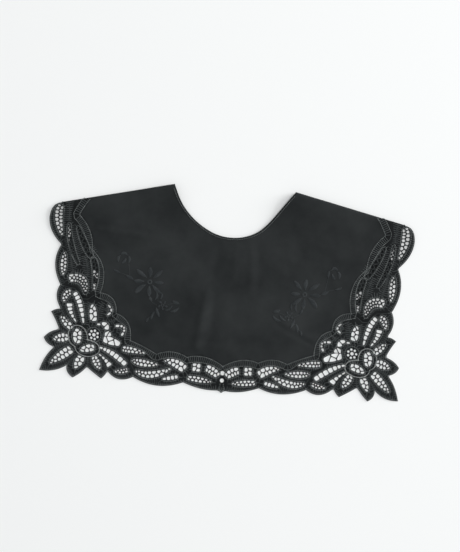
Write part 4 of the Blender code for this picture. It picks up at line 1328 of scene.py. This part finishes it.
# %% [markdown]
# Each length of lace gets its threads as pieces of their own: bars, corded edges, joins, fine
# stitches, ribs, rungs and, at the corners, the two rings of pale stitches round the flower's heart,
# which catch the eye first. The same lines serve both sides, turned over for the right one.

# %% Threads on the lace
BAR_OUT = 0.3
EDGE_IN = 0.4
DIVIDE_HALF_WIDTH = 0.42
FINE_IN = 1.5
FINE_OUT = 1.15
FINE_ROOM = 1.2
HEART_RINGS = (Eyelet((193.9, 213.0), (12.7, 14.4)), Eyelet((180.6, 227.2), (16.8, 11.4)))
one, other = (eyelet_ring(ring, 72) for ring in HEART_RINGS)
ring_runs = runs(one, ~inside(one, [other]), closed=True) + runs(other, ~inside(other, [one]), closed=True)
first_corner, first_hem = (nearest(seam_line, spot) for spot in (SCROLL_START, SWEEP_START))
STRETCHES = {
    "side": (0, first_corner), "corner": (first_corner, first_hem), "hem": (first_hem, len(seam_line)),
}
lace_parts = {}
for section in RIMS:
    first, last = STRETCHES[section]
    stretch = slice(first, last + 1)
    bars = [(ringed(gap, BAR_OUT), True) for gap in GAPS[section]]
    edges = [(inset(RIMS[section], EDGE_IN), False)] + [(line, closed) for line, closed, _ in TAPES[section]]
    fine = [(inset(RIMS[section], FINE_IN), False)]
    for ring in SPANS[section]:
        fine += clear_runs(ringed(ring, FINE_OUT), ring, FINE_ROOM, [(RIMS[section], False)] + all_divides)
    for line, _ in divides[section]:
        edges += [(moved_out(line, out), False) for out in (DIVIDE_HALF_WIDTH, -DIVIDE_HALF_WIDTH)]
    if section == "corner":
        fine.append((hub_tape, True))
    if section == "hem":
        fine.append((straight(*CENTRE_TAPE), False))
    fine += [(ladder_inner[stretch], False)] + runs(ladder_outer[stretch], open_part[stretch])
    here = (rung_places >= first) & (rung_places < last)
    rungs = (rung_starts[here], rung_ends[here])
    join = moved_out(seam_line, SEAM_GAP / 2)[stretch]
    if section == "side":
        join = np.vstack([past_fold(SHOULDER_TO_SEAM + SEAM_GAP / 2), join])
    joins = [(join, False)]
    if section in JOINS:
        joins.append((resampled(JOINS[section], TAPE_STEP), False))
    drawn = [("bars", bars), ("edges", edges), ("joins", joins)]
    sewn = [("fine", stitches_along(fine)), ("ribs", RIBS[section]), ("rungs", rungs)]
    if section == "corner":
        sewn.append(("rings", stitches_along(ring_runs, 2.0, 1.4)))
    for word, turned in SIDES:
        name, made = f"lace_{section}_{word}", []
        for kind, lines in drawn:
            lines = [(turned(line), closed) for line, closed in lines]
            if name == "lace_hem_left" and kind == "bars":
                lines += [(ringed(ring, BAR_OUT), True) for ring in centre_rings]
            look = SIDE_BARS if (section, kind) == ("side", "bars") else None
            made.append(cords(name, kind, lines, look))
        for kind, (starts, ends) in sewn:
            made.append(threads(name, kind, turned(starts), turned(ends)))
        lace_parts.setdefault(f"lace_{section}" if section == "hem" else name, []).extend(made)

# %% [markdown]
# The neck is finished with a narrow bias binding: a strip turned over the raw edge and stitched down
# three millimetres in. A strip and a rolled cord along the very edge give its two rounded folds.

# %% The bound neck
BINDING_WALL = 0.5
BINDING_SPACING = 1.6
BINDING_FROM = 0.2
BINDING_TO = 3.2
ON_CLOTH = 0.3
ROLL_IN = 0.45
STITCHES_IN = 2.6
band_half = neck_half[fold_place(neck_half)[1] > BEND + 1.0]
neck_run = np.vstack([mirrored(band_half)[:-1], band_half])
band_ring = np.vstack([moved_out(neck_run, -BINDING_FROM), moved_out(neck_run, -BINDING_TO)[::-1]])
binding, _, _ = sheet(
    "neck_band", [band_ring], BINDING_WALL, BINDING_SPACING, "neck_tape", lift=CLOTH_WALL / 2 + ON_CLOTH
)
neck_run = resampled(neck_run, 2.0)
roll = cords("neck", "roll", [(moved_out(neck_run, -ROLL_IN), False)])
# the stitch line is drawn pale, a painted highlight along the bound edge
neck_stitches = threads("neck", "stitches", *stitches_along([(moved_out(neck_run, -STITCHES_IN), False)]))
print(f"neck binding {np.linalg.norm(np.diff(neck_run, axis=0), axis=1).sum():.0f} mm long")

# %% [markdown]
# Each side of the front carries a satin-stitched spray: a flower of eight padded petals round a ringed
# eyelet, a small one under it, leaves and curling stems. A satin leaf is threads laid side by side
# across its width, so a leaf is given as a spine and a greatest width, and its threads are walked
# along the spine. The threads lie over a padding, highest along the middle of the leaf.


# %% Satin leaves
Leaf = namedtuple("Leaf", "name start through end width blunt")


SATIN_SPACING = 0.36
SLANT = 0.35


def leaf_threads(leaf):
    """The thread ends of one satin leaf, slanted a little across its spine."""
    count = max(4, round(length_of(leaf) / SATIN_SPACING))
    spine = curve_points(leaf.start, leaf.through, leaf.end, count)
    t = np.linspace(0.0, 1.0, len(spine))[:, None]
    along = heading(spine)
    across = unit(SLANT * along - sideways(along))
    swell = np.sin(math.pi * (0.05 + 0.91 * t) ** (1 / leaf.blunt))
    half = leaf.width / 2 * np.clip(swell, 0.02, 1.0) ** 0.75
    return spine - across * half, spine + across * half


FLOWER_MIDDLE = (103.4, 133.4)
LEAVES = [
    Leaf("petal_up", (104.0, 127.4), (103.6, 120.8), (104.0, 113.9), 6.2, 0.75),
    Leaf("petal_up_right", (108.0, 128.0), (114.9, 123.3), (121.4, 117.9), 5.6, 0.8),
    Leaf("petal_right", (110.8, 133.2), (117.7, 133.7), (124.1, 133.0), 5.6, 0.8),
    Leaf("petal_down_right", (108.3, 137.4), (115.4, 142.9), (121.2, 149.5), 6.8, 0.75),
    Leaf("petal_down", (103.6, 139.2), (103.1, 145.8), (103.3, 152.3), 6.0, 0.8),
    Leaf("petal_down_left", (99.4, 137.6), (94.3, 142.8), (88.1, 148.0), 5.2, 0.8),
    Leaf("petal_left", (96.8, 133.1), (91.3, 133.6), (85.2, 133.7), 5.6, 0.8),
    Leaf("petal_up_left", (99.3, 127.9), (93.8, 122.7), (88.1, 116.9), 5.4, 0.8),
    Leaf("bud_right", (126.0, 131.6), (130.0, 129.6), (134.6, 126.6), 4.8, 0.9),
    Leaf("leaf_right", (142.7, 124.5), (147.6, 122.9), (151.7, 120.4), 3.6, 0.8),
    Leaf("leaf_up", (133.5, 109.4), (132.6, 104.9), (133.8, 100.6), 3.8, 0.9),
    Leaf("curl_top", (136.2, 99.6), (140.2, 96.8), (144.4, 98.9), 4.2, 0.9),
    Leaf("curl_side", (145.0, 100.9), (147.6, 104.4), (147.4, 109.4), 4.0, 0.9),
    Leaf("curl_inside", (138.0, 103.9), (138.9, 107.7), (142.4, 110.6), 3.6, 0.9),
    Leaf("low_leaf_1", (87.9, 145.9), (86.1, 150.2), (87.6, 155.4), 2.6, 0.9),
    Leaf("low_leaf_2", (93.7, 145.9), (92.2, 151.3), (94.6, 157.0), 2.8, 0.9),
    Leaf("low_bud", (101.9, 153.4), (100.7, 156.1), (99.4, 159.4), 4.0, 0.9),
    Leaf("far_bud", (63.0, 159.6), (67.0, 158.6), (71.4, 156.2), 4.6, 0.9),
    Leaf("far_leaf_1", (63.0, 164.9), (67.2, 169.1), (74.0, 170.8), 3.8, 0.9),
    Leaf("far_leaf_2", (71.6, 163.0), (75.2, 167.6), (80.4, 169.9), 3.0, 0.9),
    Leaf("tail_leaf_1", (92.0, 167.3), (90.4, 173.1), (87.6, 178.9), 4.0, 0.9),
    Leaf("tail_leaf_2", (94.0, 172.9), (96.8, 177.8), (97.7, 183.4), 3.4, 0.9),
    Leaf("tail_bud", (101.1, 181.6), (102.6, 184.2), (103.4, 187.3), 3.0, 0.9),
]
SMALL_MIDDLE = (84.2, 163.4)
SMALL_PETALS = 5
for i in range(SMALL_PETALS):
    turn = 2 * math.pi * (i + 0.3) / SMALL_PETALS
    start, end = (around(SMALL_MIDDLE, reach, turn) for reach in (2.8, 6.4))
    middle = ((start[0] + end[0]) / 2, (start[1] + end[1]) / 2)
    LEAVES.append(Leaf(f"small_petal_{i}", start, middle, end, 3.0, 0.8))
STEMS = [
    ((121.6, 133.0), (125.2, 132.2), (128.6, 130.6)),
    ((133.2, 127.4), (138.6, 125.4), (144.0, 124.4)),
    ((130.2, 129.6), (131.4, 119.0), (133.5, 108.1)),
    ((133.5, 101.4), (134.8, 99.2), (137.2, 98.8)),
    ((97.6, 140.4), (93.2, 148.5), (90.4, 159.0)),
    ((101.6, 150.8), (99.6, 158.8), (91.6, 163.6)),
    ((77.4, 162.0), (73.0, 160.6), (67.8, 159.4)),
    ((88.2, 168.2), (93.6, 174.6), (101.6, 182.6)),
]
starts, ends = (np.vstack(part) for part in zip(*(leaf_threads(leaf) for leaf in LEAVES)))
stems = [curve_points(*stem, 14) for stem in STEMS]
eyes = [
    eyelet_ring(Eyelet(middle, (reach, reach)), count)
    for middle, reach, count in ((FLOWER_MIDDLE, 2.8, 22), (FLOWER_MIDDLE, 2.1, 18), (SMALL_MIDDLE, 1.7, 16))
]
for word, turned in SIDES:
    threads(f"flowers_{word}", "satin", turned(starts), turned(ends))
    cords(f"flowers_{word}", "stems", [(turned(stem), False) for stem in stems])
    cords(f"flowers_{word}", "eyes", [(turned(eye), True) for eye in eyes])

# %% [markdown]
# The pieces are now tied to the frame. Each cloth piece stands for its solid, whose own mesh is
# hidden, and every thread goes with the sheet it is sewn to, since all of them hang from the one root body.

# %% Pieces and the frame
stand_ins = [(front, "front_panel", "cloth"), (binding, "neck_binding", "trim")]
for (piece, _, _), stands_for in back_pieces:
    stand_ins.append((piece, stands_for, "cloth" if "panel" in stands_for else "lace"))
for stands_for, (piece, _, _) in lace.items():
    stand_ins.append((piece, stands_for, "lace"))
for piece, stands_for, finish in stand_ins:
    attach(piece, "root")
    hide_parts(stands_for)
for name, piece in pieces.items():
    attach(piece, "root")

for stands_for, (piece, size, area) in lace.items():
    sewn = lace_parts[stands_for]
    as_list(sewn)
print(len(pieces) + len(lace) + len(back_pieces) + 2, "pieces")

# %% [markdown]
# The collar lies on plain white paper, seen from straight above. One large window, low on the right
# and a few metres off, rakes across the creases and draws soft shadows to the left of every raised
# edge. A skylight falls through the lace's gaps and a pale room fills the rest. The standard view
# keeps the paper as white as a photograph's.

# %% Floor, light and camera
bpy.ops.mesh.primitive_plane_add(size=6.0, location=(0.0, 0.0, 0.0))
floor = bpy.context.object
floor.name = "floor"
PAPER_COLOUR = (0.88, 0.89, 0.885, 1.0)
paper, _ = new_material("white_paper", Base_Color=PAPER_COLOUR, Roughness=1.0, Specular_IOR_Level=0.0)
floor.data.materials.append(paper)

world = bpy.data.worlds.new("pale_room")
bpy.context.scene.world = world
world.use_nodes = True
room_light = world.node_tree.nodes["Background"].inputs
room_light["Color"].default_value = (0.97, 0.985, 1.0, 1.0)
room_light["Strength"].default_value = 0.4
bpy.context.scene.view_settings.view_transform = "Standard"


def soft_light(name, place, power, size):
    """A square white light facing the collar."""
    data = bpy.data.lights.new(name, "AREA")
    data.energy, data.size = power, size
    light = bpy.data.objects.new(name, data)
    light.location = place
    light.rotation_euler = (-Vector(place)).to_track_quat("-Z", "Y").to_euler()
    bpy.context.scene.collection.objects.link(light)


soft_light("window", (5.9, 2.25, 1.9), 430.0, 4.0)
soft_light("skylight", (0.6, 0.4, 4.5), 88.0, 1.9)
camera_data = bpy.data.cameras.new("camera")
camera_data.lens, camera_data.sensor_width, camera_data.clip_start = 73.4, 36.0, 0.01
camera = bpy.data.objects.new("camera", camera_data)
camera.location = (0.00145, 0.01934, 1.5)
camera.rotation_euler = (0.0, 0.0, math.radians(3.9))
bpy.context.scene.collection.objects.link(camera)
bpy.context.scene.camera = camera
